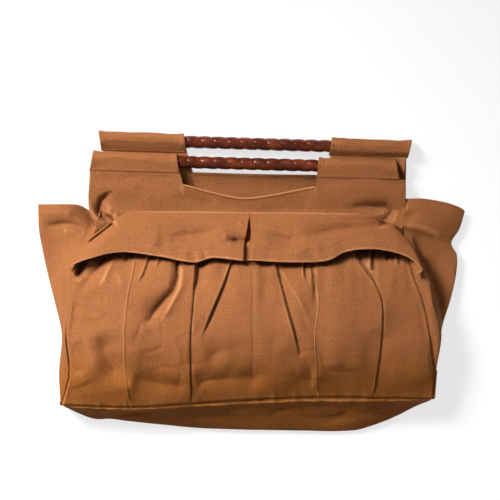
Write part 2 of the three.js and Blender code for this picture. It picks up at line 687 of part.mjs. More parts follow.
// The front yoke lies over the top of the front and falls from there to its casings' stitch line.
function frontYokePoint(x, y, side) {
  const seamZ = frontCrown(x, y) + CLOTH + LAP_GAP;
  const stitchY = axisY(FRONT_HANDLE, x) - CASING_TAIL + CASING_LAP;
  const stitchZ = FRONT_HANDLE.z + FRONT_HANDLE.tipZ + CLOTH / 2;
  const fall = smoothstep(y, TOP_Y + YOKE_LAP, stitchY);
  const dents = foldHeight(YOKE_FOLDS, x, y) * smoothstep(y, TOP_Y + YOKE_LAP, FRONT_HOLE[2].y);
  const out = x < 0 ? -yokeSway.left(y) : yokeSway.right(y);
  return point(x + out * side, y, lerp(seamZ, stitchZ, fall) + dents);
}

const frontYoke = yokeGeometry(
  FRONT_HANDLE,
  yokeColumns(FRONT_HANDLE, FRONT_HOLE, YOKE_BOTTOM[0].x, YOKE_BOTTOM.at(-1).x),
  YOKE_ROWS,
  yokeBottomY,
  frontYokePoint,
);
const rearYoke = yokeGeometry(
  REAR_HANDLE,
  yokeColumns(REAR_HANDLE, REAR_HOLE, ...REAR_YOKE_SIDES),
  1,
  () => YOKE_Y,
  (x, y) => point(x, y, CLOTH),
);

// A rod through both casings, along X.
function rodGeometry(handle) {
  const length = handle.right[1] - handle.left[0] - 2 * CASING_END;
  const middle = (handle.right[1] + handle.left[0]) / 2;
  return new THREE.CylinderGeometry(ROD_RADIUS, ROD_RADIUS, length, ROD_SIDES)
    .rotateZ(Math.PI / 2)
    .translate(middle, 0, 0);
}

// A leather strip wound round the rod: each turn is a soft swelling between two slanting grooves.
function wrapGeometry(handle) {
  const fromX = handle.left[1] - WRAP_TUCK;
  const toX = handle.right[0] + WRAP_TUCK;
  const steps = Math.round(((toX - fromX) / WRAP_PITCH) * WRAP_STEPS_PER_TURN);
  const radiusAt = (x, turn) => {
    const phase = THREE.MathUtils.euclideanModulo(x / WRAP_PITCH - turn, 1);
    return WRAP_RADIUS - WRAP_GROOVE * (1 - Math.sqrt(Math.sin(Math.PI * phase)));
  };
  const ringAt = (x, radius) =>
    Array.from({ length: WRAP_SIDES }, (_, i) => {
      const turn = i / WRAP_SIDES;
      const r = radius ?? radiusAt(x, turn);
      return point(x, r * Math.cos(2 * Math.PI * turn), r * Math.sin(2 * Math.PI * turn));
    });
  const bore = (ROD_RADIUS + RUNNING_GAP) / Math.cos(Math.PI / WRAP_SIDES);
  const outside = Array.from({ length: steps + 1 }, (_, i) => ringAt(lerp(fromX, toX, i / steps)));
  const rings = [...outside, ringAt(toX, bore), ringAt(fromX, bore)];
  const index = [];
  rings.forEach((_, r) => {
    const next = (r + 1) % rings.length;
    for (let i = 0; i < WRAP_SIDES; i += 1) {
      const j = (i + 1) % WRAP_SIDES;
      const [a, b] = [r * WRAP_SIDES + i, r * WRAP_SIDES + j];
      const [c, d] = [next * WRAP_SIDES + j, next * WRAP_SIDES + i];
      index.push(a, b, c, a, c, d);
    }
  });
  return meshGeometry(rings.flat(), index);
}

// Assembly

function named(name, geometry, finish) {
  const mesh = new THREE.Mesh(geometry, new THREE.MeshStandardMaterial(finish));
  mesh.name = name;
  return mesh;
}

// A rod and its wrapping, turned about the middle of the bag to the handle's lean.
function handleGroup(prefix, handle) {
  const group = new THREE.Group();
  group.position.set(0, handle.y, handle.z);
  group.rotation.z = Math.atan(handle.lean);
  group.add(named(`${prefix}_rod`, rodGeometry(handle), WOOD));
  group.add(named(`${prefix}_wrap`, wrapGeometry(handle), LEATHER));
  return group;
}

const bag = new THREE.Group();
bag.add(
  named("front_panel", frontPanel, CANVAS),
  named("back_panel", backPanel, CANVAS),
  named("gusset_left", gussetLeft, CANVAS),
  named("gusset_right", gussetRight, CANVAS),
  named("base_panel", basePanel, BASE_CANVAS),
  named("front_flap", frontFlap, CANVAS),
  named("front_yoke", frontYoke, CANVAS),
  named("rear_yoke", rearYoke, CANVAS),
  handleGroup("front", FRONT_HANDLE),
  handleGroup("rear", REAR_HANDLE),
);
bag.position.set(-CENTRE_X, -CENTRE_Y, 0);

export default bag;
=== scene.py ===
"""A gathered canvas handbag with two leather-wound rod handles, lying on its back.

Every cloth panel is a grid of points worked out from the bag's own sections in millimetres, and is put
into the packed frame in metres. X runs across the bag, Y from its base to its handles, Z up.
"""

import bmesh
import bpy
import numpy as np
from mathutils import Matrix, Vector


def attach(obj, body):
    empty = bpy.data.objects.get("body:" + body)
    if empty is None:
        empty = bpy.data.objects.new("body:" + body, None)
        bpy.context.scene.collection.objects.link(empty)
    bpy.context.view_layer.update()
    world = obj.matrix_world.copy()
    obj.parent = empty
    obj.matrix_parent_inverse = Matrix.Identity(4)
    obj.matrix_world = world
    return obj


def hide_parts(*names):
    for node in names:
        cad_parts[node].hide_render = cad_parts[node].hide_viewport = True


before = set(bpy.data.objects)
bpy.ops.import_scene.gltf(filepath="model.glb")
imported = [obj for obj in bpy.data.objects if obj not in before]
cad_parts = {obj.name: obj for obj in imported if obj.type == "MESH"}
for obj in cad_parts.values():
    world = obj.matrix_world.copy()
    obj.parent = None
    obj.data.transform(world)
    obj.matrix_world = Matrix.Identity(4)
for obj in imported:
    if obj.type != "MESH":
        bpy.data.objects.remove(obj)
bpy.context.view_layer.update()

bl_info = {
    "name": "Canvas handbag",
    "version": (1, 0, 0),
    "blender": (4, 5, 0),
    "location": "3D View > Sidebar > Bag",
    "description": "Dresses a gathered canvas handbag with wound rod handles",
    "category": "Object",
}

MM = 0.001
BODY = "root"
CENTRE = np.array([0.3, -0.65, 0.0])  # middle of the bag in its own millimetres
TOP_Y = 78.0  # top edge of the body, under the front yoke
LAP = 2.4  # from the front up to the outside of a panel laid over it
SEAM_HOLD, SEAM_SAG = 0.12, 0.35  # shares of the front's height held flat by, and following, the base seam
SEAM_GROOVE, SEAM_GROOVE_REACH = 2.0, 0.9  # depth and reach of the groove along the base seam
SIDE_GROOVE, SIDE_GROOVE_EASE = 3.0, (-75.0, -45.0)  # depth of a side seam's groove, and where it eases
SIDE_GROOVE_TOP = {-1: 0.6, 1: 1.8}  # the depth left above that, on the left and on the right
RIGHT_SEAM_REACH = 5.0  # the right gusset rises slowly from its seam
SEAM_CALM = 7.0  # folds die out this far from a side seam
CROWN_POWER = 2.6  # how squarely the front turns down to its side seams
CASING_RADIUS = 9.0  # outside of a casing's round part
ROD_RADIUS, ROD_RIM, ROD_END = 5.6, 1.6, 7.0  # a rod, its rounded rim, and how far it stops inside its casing


def table(names, *rows):
    """A table of sections: each name with its column of numbers."""
    return dict(zip(names.split(), np.array(rows, float).T))


# The front, level by level: its side seams, its four pleat edges, and its height at the middle and at the
# seams.
FRONT = table(
    "y left foldA foldB foldC foldD right crown edge",
    (-131, -208, -133, -66, 72, 133, 200, 38, 33),
    (-98, -199, -137, -68, 72, 137, 200, 58, 43),
    (-60, -202, -138, -68, 70, 141, 196, 66, 46),
    (-21, -197, -135, -65, 74, 141, 188, 61, 43),
    (6, -196, -130, -63, 70, 130, 178, 50, 37),
    (28, -188, -126, -62, 66, 116, 173, 37, 29),
    (52, -173, -117, -60, 62, 112, 168, 24, 20),
    (TOP_Y, -165, -110, -56, 56, 104, 165, 13, 12),
)

# The base: its seam with the front, and how far its bulge reaches.
BASE_SEAM = table("x y", (-208, -137), (-130, -139), (-67, -135), (0, -131), (72, -128), (200, -130))
BASE_BULGE = table(
    "x y",
    (-208, -138),
    (-186, -148.5),
    (-171, -153.5),
    (-156, -153.5),
    (-139, -155),
    (-95, -159.5),
    (-52, -163.5),
    (10, -165),
    (54, -166),
    (113, -166),
    (135, -160),
    (159, -150.5),
    (182, -139),
    (200, -131),
)
BASE_TUCK = 8.0  # from the base's bulge in to the back's lower edge
BASE_CORNER, BASE_ENDS = 0.12, 0.03  # shares of the width over which that edge, and the bulge, run out
BASE_SECTION = ((0.3, 0.5, 0.54), (0.7, 1.0, 0.12))  # shares across, of the reach and of the height
BASE_RIDGE = (2.0, 0.055, 0.034)  # turned-in cloth below the seam: its height, its share across and its reach
BASE_PUCKERED = (0.1, 0.12)  # share across at which the seam puckers it most, and the puckers' reach
BASE_SEWN = 0.05  # share across that the seam holds flat
BASE_FOLDED, BASE_WAVED = 0.2, 0.25  # shares across at which its folds and its waves are full
BASE_CALM = (0.55, 0.8)  # shares across over which all wrinkles run out
BASE_OUT, BASE_UP = 0.6, 0.8  # how far the base's wrinkles push it outwards, and up

# A gusset, level by level: its ridge's distance from the front seam, the place of its valley and of its
# outer fold, its back seam, and how far it stands up rather than lies folded.
GUSSET_COLUMNS = "y ridge valleyX valleyZ foldX foldZ backX stand"
LEFT_GUSSET = table(
    GUSSET_COLUMNS,
    (-131, 1, -209, 32, -209, 20, -203, 1),
    (-98, 4, -209, 34, -211, 22, -200, 1),
    (-60, 4, -207, 32, -208, 20, -196, 0.9),
    (-21, 4, -208, 24, -217, 13, -190, 0.4),
    (6, 5, -211, 17, -224, 8, -185, 0.1),
    (28, 6, -211, 14, -229, 7, -181, 0),
    (52, 8, -211, 13, -234, 7, -178, 0),
    (TOP_Y, 8, -206, 12, -235, 7, -175, 0),
)
RIGHT_GUSSET = table(
    GUSSET_COLUMNS,
    (-131, 1, 201, 32, 201, 20, 196, 1),
    (-98, 3, 203, 34, 204, 22, 194, 1),
    (-60, 11, 209, 29, 208, 18, 191, 0.9),
    (-21, 12, 208, 16, 220, 12, 185, 0.3),
    (6, 14, 203, 11, 226, 10, 180, 0),
    (28, 9, 189, 12, 227, 10, 176, 0),
    (42, 5, 183, 16, 221, 9, 175, 0),
    (58, 6, 190, 17, 230, 8, 175, 0),
    (TOP_Y, 4, 186, 13, 236, 8, 175, 0),
)
RIDGE_DROP = 2.5  # from a side seam down to the gusset's ridge beside it
GUSSET_SKEW = 3.0  # how far a gusset's back edge runs above its front seam at the base
GUSSET_FLOOR = (0.14, 0.4)  # where it meets the floor, from outer fold to back seam: lying and standing
GUSSET_FOOT = 0.45  # how high a standing gusset turns there, as a share of its fold's height
LAYER_GAP = 3.2  # least height of an ear's upper layer above the floor
GUSSET_WRINKLED = (0, 0.06, 0.46, 0.6)  # shares of the way round where its wrinkles start, and where they end
GUSSET_UNDER = (0.5, 0.6)  # shares over which the upper layer passes into the lower one
GROOVE_END = (0.2, 0.3)  # shares over which the side seam's groove runs out
EAR_FOLDS_FROM = (0.5, 0.7)  # shares of the height over which an ear's folds start
EAR_FROM = 0.7  # share of the height above which an ear's mouth takes its own curve
LEFT_EAR_RISE = table(
    "share up",
    (0, -4), (0.2, -4), (0.25, 0), (0.31, 5), (0.4, 6), (0.8, 6), (0.93, 6), (0.965, 3), (1, -6),
)
RIGHT_EAR_RISE = table(
    "share up",
    (0, 12), (0.2, 12), (0.4, 12.5), (0.44, 11.6), (0.5, 8), (0.56, 2.2), (0.6, -1.5), (0.8, -2), (1, 6),
)

# The flap, by shares along it: its place at the seam, its bow to the right, the place of its hem, and how
# far the hem stands off the front.
FLAP = table(
    "s topX bow hemX hemY lift",
    (0, -157, -9, -199, 11, -1),
    (0.033, -153, -7, -197, 16, 4),
    (0.1, -136, -2, -182, 22.5, 10),
    (0.2, -105, 0, -144, 31, 8.5),
    (0.3, -73, 0, -104, 27, 7),
    (0.4, -40, 0, -56, 20, 7),
    (0.45, -22, 0, -32, 25, 8),
    (0.5, 0, 0, -1, 22, 8),
    (0.6, 35, 0, 46, 20, 7),
    (0.7, 70, 0, 84, 22, 8),
    (0.78, 97, 0, 106, 32, 8.5),
    (0.87, 128, 1, 140, 34, 9.5),
    (0.93, 146, 4, 171, 26, 8.5),
    (0.967, 154, 6, 187, 12, 6.5),
    (1, 157, 6, 180, 6, 3),
)
FLAP_CALM = 0.15  # share of its drop over which its folds start
FLAP_OVER = 0.9  # how far it lies above the yoke
FLAP_ROLL, FLAP_ROLL_REACH = 0.8, 1.4  # roll of cloth along its seam
FLAP_ARCH = 2.0  # how far the flap arches between its seam and its hem
FLAP_SEAM, FLAP_TUCKED = 0.4, 0.025  # how far it starts above the yoke's edge, and the share tucked behind it
HEM_STEP, HEM_EASE = 0.7, (-0.6, 0.4)  # how far its turned hem stands up, and over what width at the stitches
HEM_STITCHED, HEM_POINTS = ((0.04, 0.47), (0.53, 0.96)), 240  # shares along it with stitches, points in each
HEM_PULL, HEM_PULL_REACH = 0.5, 0.9  # how far the stitches pull it down
HEM_ROUND, HEM_ROUND_REACH = 0.4, 0.8  # how far its edge turns down

# The flap's centre pleat, by shares of the drop: half its width, and its middle.
FLAP_SLIT = table(
    "t half centre",
    (0, 0.5, -1.7),
    (0.13, 0.7, -1.7),
    (0.3, 1.8, -2.2),
    (0.565, 4.2, -2.8),
    (0.74, 5, -3.5),
    (1, 5.2, -3.9),
)
FLAP_SLIT_DEPTH = 9.0  # how far the centre pleat's back is sunk
SLIT_SIDE = 0.7  # half the width of cloth in a side of the pleat, as a share of the pleat's half width
SLIT_OVERLAP = (0.35, 0.55)  # how far a side doubles back, as shares of that: at the seam and lower down
SLIT_OPENS, SLIT_SINKS = 0.5, 0.4  # shares of the drop over which it opens, and over which its back sinks
SLIT_DRAWS = 0.2  # share of the flap's length that its sides draw in

# The yokes: the front one's lower edge, the outward swing of its two sides, and both hand holes' lower edges.
YOKE_BOTTOM = table(
    "x y", (-175, 51), (-165, 57), (-154, 63), (-146, 69.5), (-136, 75), (134, 72.5), (148, 64), (169, 56)
)
YOKE_SWAY = table(
    "y left right", (52, -5, -3), (62, -3, 0), (74, 2.5, 2), (90, 4.2, 1.5), (108, 3, 1), (119, 2.5, -4)
)
YOKE_RISE = (TOP_Y - 6, TOP_Y + 26)  # where the front yoke lifts off the body, and where it is up
YOKE_HEM = ((0.9, 1.6, 1.2), (-0.9, 0.0, 0.9))  # roll at the hole: heights, distances below its edge, reaches
YOKE_EDGE, YOKE_EDGE_REACH = 0.7, 2.5  # how far its lower edge turns down
YOKE_HELD, YOKE_HELD_REACH = 0.75, 4.0  # share of its dents that the casings' stitches take out
YOKE_DENT, YOKE_CALM = 6.0, (-8.0, 4.0)  # its deepest dent, and how far above its edge the dents start
YOKE_LAP = 0.3  # how far a yoke runs up behind its casings' stitch line
FRONT_HOLE = table("x y", (-75, 106.5), (-40, 97), (-12, 91.5), (12, 93), (70, 104))
REAR_HOLE = table("x y", (-64, 119), (4, 117), (76, 116))
REAR_SIDES = (-163.0, 171.0)  # side edges of the rear yoke
REAR_BOTTOM, BACK_GAP = 74.0, 0.5  # lower edge of the rear yoke, and the back's distance from it
REAR_LOW, REAR_SWELL = 1.5, 1.2  # least height of the rear yoke, and how far its ripples rise above it
REAR_RISE, REAR_UNDER = 100.0, 2.2  # where it starts to rise, and how far under the stitch line it ends
REAR_HEM, REAR_HEM_REACH = 0.6, 1.8  # roll at its hand hole
REAR_CURL, CURL_ACROSS, CURL_UP = 4.5, (160.0, 169.0), (108.0, 120.0)  # curl of its right edge

# A handle: its axis at the middle of the bag, its lean, how high its casings' stitch line lies against
# the axis, how far below the axis it runs on the left and on the right, each casing's four corners: outer
# and inner end, along the stitch line and along the top, the casings' outer ends at the rod, and the bare
# stretch between them.
FRONT_HANDLE = {
    "y": 128.5, "z": 11.4, "lean": -0.028, "tip": 7.5, "tails": (13.0, 13.5),
    "left": (-178.0, -79.0, -174.0, -82.0), "right": (72.5, 164.0, 75.0, 159.5),
    "rod": (-173.0, 160.0), "bare": (-78.0, 73.0),
}
REAR_HANDLE = {
    "y": 150.7, "z": 9.0, "lean": -0.031, "tip": 2.0, "tails": (13.0, 10.5),
    "left": (-165.0, -70.5, -168.0, -74.5), "right": (86.0, 173.0, 89.5, 177.5),
    "rod": (-168.0, 178.0), "bare": (-70.0, 88.0),
}

# Folds: a path of (x, y) places, a height (a ridge above 0, a groove below), the reach to the right of
# and to the left of a path that runs down the bag (above and below one that runs across it to the
# right), and the shares of its length over which its two ends fade.
FRONT_FOLDS = (
    (((-187, 20), (-191, 2)), -14, 6, 5, 0, 0.35),
    (((-176, 22), (-188, 1)), 2.5, 4, 4, 0, 0.4),
    (((-162, 25), (-173, 8), (-185, -9), (-188, -18)), -4, 5, 5, 0, 0.5),
    (((-150, 25), (-163, 0), (-172, -17)), 4, 6, 7, 0, 0.5),
    (((-135, 30), (-137, -60), (-134, -110)), 4, 30, 40, 0.3, 0.3),
    (((-186, -58), (-174, -86), (-176, -114)), 3, 12, 18, 0.45, 0.4),
    (((-170, -56), (-157, -84), (-142, -122)), -8.5, 17, 10, 0.3, 0.45),
    (((-194, -66), (-184, -80), (-176, -96)), -2.5, 7, 5, 0.25, 0.4),
    (((-188, -98), (-181, -116)), 3, 8, 14, 0.35, 0.35),
    (((-81, 21), (-82, 3), (-85, -10), (-97, -23), (-107, -35), (-115, -49), (-113, -57)), -7, 4, 5, 0, 0.35),
    (((-78, 18), (-78, -6), (-87, -25), (-99, -45), (-110, -59)), 3.4, 6, 3.4, 0, 0.4),
    (((-126, -84), (-90, -90)), -1.6, 10, 8, 0.45, 0.45),
    (((-133, -106), (-118, -109), (-95, -114), (-68, -118)), -5, 9, 20, 0.2, 0.2),
    (((-63, -116), (-50, -110), (-32, -107), (1, -105), (26, -104)), -5.5, 11, 22, 0.15, 0.3),
    (((-56, -84), (-30, -77), (1, -72)), -3, 10, 14, 0.3, 0.4),
    (((-58, 30), (-59, 4), (-63, -20)), -9, 7, 1.6, 0, 0.6),
    (((2, 20), (2, -54), (2, -126)), -0.8, 1.4, 1.4, 0.1, 0.1),
    (((67, 26), (69.5, -9), (70, -32)), -3.5, 1.6, 2, 0, 0.4),
    (((57, -80), (65, -100), (66, -130)), -4, 3, 15, 0.5, 0.1),
    (((74, -97), (96, -100), (129, -98)), -2.2, 3.5, 12, 0.2, 0.5),
    (((108, 38), (140, 36), (164, 26)), -9, 8, 8, 0.2, 0.15),
)

# Edges of folded-over cloth: a path of (x, y) places, how far the cloth is raised to the left of a path
# that runs down the bag and over what reach, how far it is sunk to the right and over what reach, and
# the shares of its length over which its two ends fade.
FRONT_EDGES = (
    (((-139, 30), (-138, 17)), 1, 5, 3, 4, 0, 0.5),
    (((-111, 30), (-118, 8), (-126, -6)), 2, 7, 3, 5, 0, 0.5),
    (((-100, 30), (-104, 12)), 1.5, 5, 2.5, 4, 0, 0.6),
    (((-81.5, 32), (-81.5, 4), (-84, -10)), 2, 10, 7, 4, 0, 0.45),
    (((-19, 28), (-30, -4), (-43, -35), (-51, -54), (-55, -69)), 2.4, 12, 3.4, 4, 0, 0.35),
    (((25, 28), (32, -2), (39, -29), (46.5, -55), (51, -74), (53, -91)), 2.2, 11, 3.4, 4, 0, 0.25),
    (((69, -62), (66, -53), (55, -31), (39, -2), (27, 19)), 2, 9, 0, 4, 0.3, 0),
    (((57, 30), (58, 7), (61, -7)), 2, 6, 4, 4, 0, 0.5),
    (((113, 32), (120, 18), (131, 3), (140, -14)), 1.5, 8, 5, 5, 0, 0.5),
    (((132.5, 34), (132, 7)), 1.5, 7, 5, 5, 0, 0.3),
    (((146, 32), (149, 20)), 1.5, 5, 3.5, 4, 0, 0.5),
    (((159, 32), (162, 14)), 1.5, 5, 3.5, 4, 0, 0.5),
)
FLAP_FOLDS = (
    (((-152, 63), (-164, 53), (-182, 39)), -7, 4, 1.6, 0.05, 0.25),
    (((48, 47), (83, 53), (112, 58), (134, 60), (154, 64)), -9, 9, 2, 0.35, 0.05),
    (((-94, 47), (-56, 51), (-26, 56)), -6, 7, 12, 0.4, 0.4),
    (((-108, 42), (-86, 36), (-70, 30)), -3, 8, 8, 0.3, 0.3),
    (((-32, 47), (-20, 44), (-6, 43)), -9, 5.5, 2.2, 0.6, 0),
    (((0, 58), (18, 50), (40, 44), (62, 46)), -7, 6, 10, 0.6, 0.35),
    (((36, 30), (64, 33), (84, 42)), 2.5, 8, 8, 0.3, 0.3),
    (((-117, 57), (-107, 58)), -1.4, 1.2, 1.4, 0.2, 0.2),
    (((-66, 40), (-63, 18)), -3.6, 5, 7, 0.5, 0),
    (((-53, 38), (-51, 18)), -3.4, 5, 6, 0.5, 0),
    (((-84, 53), (-84, 38)), -1.6, 5, 5, 0.3, 0.3),
    (((61, 38), (72, 18)), -2.4, 5, 5, 0.4, 0),
    (((96, 44), (104, 28)), -2, 6, 6, 0.4, 0),
)
YOKE_FOLDS = (
    (
        ((-146, 99), (-155, 94), (-161, 89), (-165, 78), (-166, 72), (-159, 66), (-152, 63)),
        -6.5, 7, 3, 0.3, 0.05,
    ),
    (((-175, 91), (-174, 80), (-168, 65)), 2.6, 4, 4, 0.3, 0.1),
    (((-150, 84), (-156, 72)), 2.4, 9, 6, 0.3, 0.1),
    (((-150, 65), (-164, 58), (-176, 50)), -4.5, 5, 6, 0.1, 0.1),
    (((100, 80), (126, 82), (146, 81), (152, 76), (147, 69), (136, 63)), -6.5, 5, 8, 0.5, 0.1),
    (((160, 84), (156, 60)), 1.6, 5, 7, 0.5, 0),
    (((-140, 116), (-128, 115), (-114, 115)), -1.6, 5, 7, 0.3, 0.4),
    (((80, 109), (110, 110), (140, 111)), -0.6, 5, 7, 0.3, 0.3),
    (((-120, 100), (-60, 88), (0, 82)), -1.8, 12, 12, 0.4, 0.4),
)
LEFT_EAR_FOLDS = (
    (((-234, 74), (-210, 75), (-192, 73)), 3, 9, 8, 0.1, 0.3),
    (((-232, 56), (-221, 61), (-207, 63), (-194, 61), (-184, 57), (-176, 52)), -3.6, 2.4, 6, 0.35, 0.3),
    (((-183, 85), (-178, 76), (-172, 63), (-168, 54)), -9, 2, 8, 0, 0.3),
    (((-210, 57), (-194, 59), (-179, 53)), 2.5, 4, 8, 0.2, 0.2),
    (((-202, 56), (-198, 45), (-200, 20)), -0.8, 3, 3, 0.3, 0.5),
)
RIGHT_EAR_FOLDS = (
    (((163, 60), (178, 58), (190, 55), (203, 50), (217, 42)), 3, 15, 3, 0.05, 0.3),
    (((166, 55), (178, 53), (190, 49), (203, 44)), -1.8, 3, 14, 0.05, 0.6),
    (((171, 94), (173, 70)), 5, 12, 6, 0, 0.4),
)
RIGHT_EAR_EDGES = (
    (((185, 22), (189, 14), (197, -1), (200, -27), (206, -46)), 2.2, 5, 7, 9, 0.15, 0.3),
)
BASE_FOLDS = (
    (((-150, -146), (-120, -147), (-90, -150)), -1.4, 4, 4, 0.3, 0.3),
    (((-70, -152), (-40, -150), (-10, -147)), -1.2, 4, 4, 0.3, 0.3),
    (((20, -143), (45, -141)), -1.2, 3, 3, 0.4, 0.4),
    (((20, -149), (60, -147)), 1.0, 4, 4, 0.4, 0.4),
    (((80, -150), (120, -152)), -1.2, 5, 5, 0.4, 0.4),
)

# Wrinkles: a height, the cells of a noise across and up the bag, and a seed.
FRONT_GATHERS = ((1.0, 8, 60, 3), (1.2, 15, 80, 4))
FRONT_WAVES = ((2.6, 34, 42, 5), (1.0, 13, 17, 6))
FRONT_PUCKERS = ((0.9, 6, 30, 7),)
GUSSET_WAVES = ((1.2, 24, 40, 0), (0.5, 10, 14, 1))
BASE_PUCKERS = ((0.9, 7, 90, 21),)
BASE_WAVES = ((0.9, 40, 14, 22),)
BACK_WAVES = ((0.5, 50, 60, 31),)
FLAP_WAVES = ((1.3, 22, 26, 41), (0.5, 8, 14, 42))
YOKE_WAVES = ((1.2, 26, 22, 51), (0.5, 10, 12, 52))
REAR_WAVES = ((0.5, 34, 20, 61),)
CASING_WAVES = ((0.7, 30, 7, 0), (0.45, 9, 11, 1))
WRAP_WAVES = ((0.08, 5, 6, 71),)

# Pressed creases: a depth, the cells of a noise across and up the bag, and a seed.
FRONT_CREASES = (0.8, 22, 17, 8)
GUSSET_CREASES = (0.8, 17, 26, 2)
BASE_CREASES = (1.2, 40, 9, 23)
FLAP_CREASES = (1.1, 24, 16, 43)
YOKE_CREASES = (0.9, 24, 15, 53)
CREASE_REACH, CREASE_PATCHES = 0.22, (-0.2, 0.5)  # how narrow a crease is, and where a broad noise keeps it

# The front's pleats and the parts of it that lie covered
STRIP_EDGES = ("left", "foldA", "foldB", "foldC", "foldD", "right")
STRIP_CELLS = (46, 38, 104, 38, 42)  # cells of cloth between those edges
SIDE_CROWDING = 1.4  # how far the columns crowd towards the side seams
FOLD_CELLS = 16  # cells of cloth in a pleat's edge
FOLD_HALF = 4.0  # half the width of cloth taken up by a pleat's edge
FOLD_TURN = 0.45  # share of that half through which the cloth changes its height
PLEAT_OPENS = 0.07  # share of the front's height over which a pleat's edge opens
PLEAT_SEWN = 0.45  # share of its lift that a pleat keeps at the base seam
TUCK_REACH = 2.6  # reach of the dip beside a pleat's edge
TUCK_DEPTHS = (0.0, 1.8, 0.5, 1.4)  # how far the cloth dips beside each pleat edge
RIM_HIGHLIGHT = (1.6, 0.2, 1.6, 0.2)  # painted highlight on each pleat edge's rim
RIM_AT, RIM_REACH = 0.37, 0.18  # where that rim lies across the edge, and its reach
GATHERS_FROM = (-70.0, 30.0)  # where the gathers start, and where they are full
PLEATS_END = (40.0, 66.0)  # where the pleats and folds run out under the flap
PUCKER_REACH = 8.0  # how far the base seam puckers the front
FLAP_PRESS, FLAP_COVERS = 8.0, (8.0, 50.0)  # how far the flap presses the front down, and from where
FLAP_CORNERS = ((16.0, 36.0), (12.0, 30.0))  # from the left and right seams in, where that begins
YOKE_COVERS, YOKE_CORNER = (54.0, 68.0), 5.0  # where the yoke covers the corners too, and how near the seams
EDGE_EASE = 1.6  # half the width over which a folded-over edge steps down
FRONT_ROWS = 134  # rows of points up the front and the gussets
GUSSET_CELLS = 90  # cells across a gusset, and across the base
BACK_COLUMNS, BACK_ROWS = 121, 70  # points across and up the back
BACK_WIDTH = 400.0  # the back's width, for its noise
BACK_SWELL = 0.7  # height of its ripples
BACK_SIDES, BACK_FOOT = 0.05, 12.0  # share across, and distance from the base, over which they start
FLAP_ROWS, FLAP_COLUMNS, TIP_COLUMNS = 58, 104, 13  # points down the flap, along a half and along a tip
SLIT_COLUMNS, SLIT_BACK_COLUMNS = 15, 8  # points across a side and the back of the centre pleat
YOKE_COLUMNS = (60, 80, 58)  # points under the left casing, along the hand hole and under the right casing
CASING_COLUMNS, CASING_ARC, CASING_TAIL = 84, 44, 9  # points along a casing, round its rod and along a tail
ROUND_SIDES = 40  # points round a rod and round a winding
ROD_RIM_RINGS, ROD_RINGS, ROD_SHOULDER = 7, 60, 4.0  # rings in a rod's rim and between, and where those start
CREST_WEIGHTS = {1: 4.0, 3: 0.1}  # cells to the neighbours that a crest is measured from, and their weights
CREST_EVEN = 2  # rows to each side over which it is evened out
STITCH_SIDES = 6  # points round a stitch

# Casings: their hem and flares, and the part of the section that wrinkles
CASING_HEM, CASING_HEM_WIDTH, CASING_HEM_EASE = 0.4, 6.2, 0.8  # height, width and the ease at its stitches
CASING_PULL, CASING_PULL_REACH = 0.35, 0.8  # how far those stitches pull it in
CASING_FLARES = ((0.9, 5.0), (0.5, 2.0))  # heights and reaches of the flare at the outer and at the inner end
CASING_ROUND = (0.12, 0.45)  # shares of the section's width over which it comes free of its stitches
CASING_GIRTH = 90.0  # once round a casing, for its noise
CASING_CLEAR = 0.05  # least height of a casing above the floor
CASING_SEEDS = {"left": 81, "right": 85}  # for the noise on the front casings
REAR_SEEDS = 10  # what the rear casings add to those seeds

# Windings: the strip's section along the rod
WRAP_BORE, WRAP_RADIUS, WRAP_SWELL = 5.7, 5.95, 1.05  # bore, radius between turns, and how far a turn swells
WRAP_LEAN, WRAP_ROUND = 1.35, 0.46  # how far a turn's crown leans to one edge, and how round it is
WRAP_TUCK, WRAP_STEP = 12.0, 0.55  # length hidden in each casing, and distance from ring to ring
WRAP_TONES, WRAP_TONE_SEED = 64, 72  # tones that the turns take in a random order

# Painted light and shade: how pale an edge is painted as lit, how far from the edge, and where the cloth is
# painted darker
# painted highlight along the yokes' hems at their hand holes
HOLE_HIGHLIGHT, HOLE_HIGHLIGHT_REACH = 1.6, 1.1
FLAP_HIGHLIGHT, FLAP_HIGHLIGHT_REACH, FLAP_HIGHLIGHT_TO = 2.0, 1.6, (100.0, 130.0)  # painted highlight along the flap's hem and its seam; at the seam only as far out as this
BASE_HIGHLIGHT, BASE_HIGHLIGHT_AT, BASE_HIGHLIGHT_REACH = 0.5, 0.05, 0.03  # painted highlight along the base's ridge, at a share across
HEM_SHADE = 1.5  # painted shade: how much darker the front is painted under the flap's hem
HEM_SHADE_DROPS = (11.0, 15.0)  # how far down that reaches, on the left and on the right
HEM_SHADE_EASE = (80.0, 120.0)  # where it goes from one to the other
CREST_PALE = (0.12, 0.9)  # crest marks over which the cloth gets paler, partly wear and partly painted highlight
CREST_PAINTED_SHADE = (-0.5, -1.0, 0.0, 0.85)  # crest marks over which it gets darker with painted shade in grooves, and from and to what share
CREST_WEAR_AND_HIGHLIGHT = 0.35  # how pale the crests get: wear and painted highlight
LOW_PAINTED_SHADE = (0.88, 0.8, 0.47, 1.0)  # painted shade: what is left of the canvas colour near the base
LOW_PAINTED_SHADE_FROM = (-0.055, -0.12)  # where that starts and where it is full, in metres
CREST_PALE_TONE = (0.6, 0.28, 0.125)  # canvas paled on its crests, partly wear and partly painted highlight

# The stage: the camera's place in metres and its lens in millimetres, the floor in the bag's millimetres.
CAMERA_PLACE, CAMERA_LENS = (-0.0014, 0.0342, 4.5), 293.0
FLOOR_HALF, FLOOR_DROP, FLOOR_POINTS = 3000.0, 0.2, 25
STUDIO_COLOUR, STUDIO_STRENGTH = (1.0, 0.94, 0.82, 1.0), 0.25

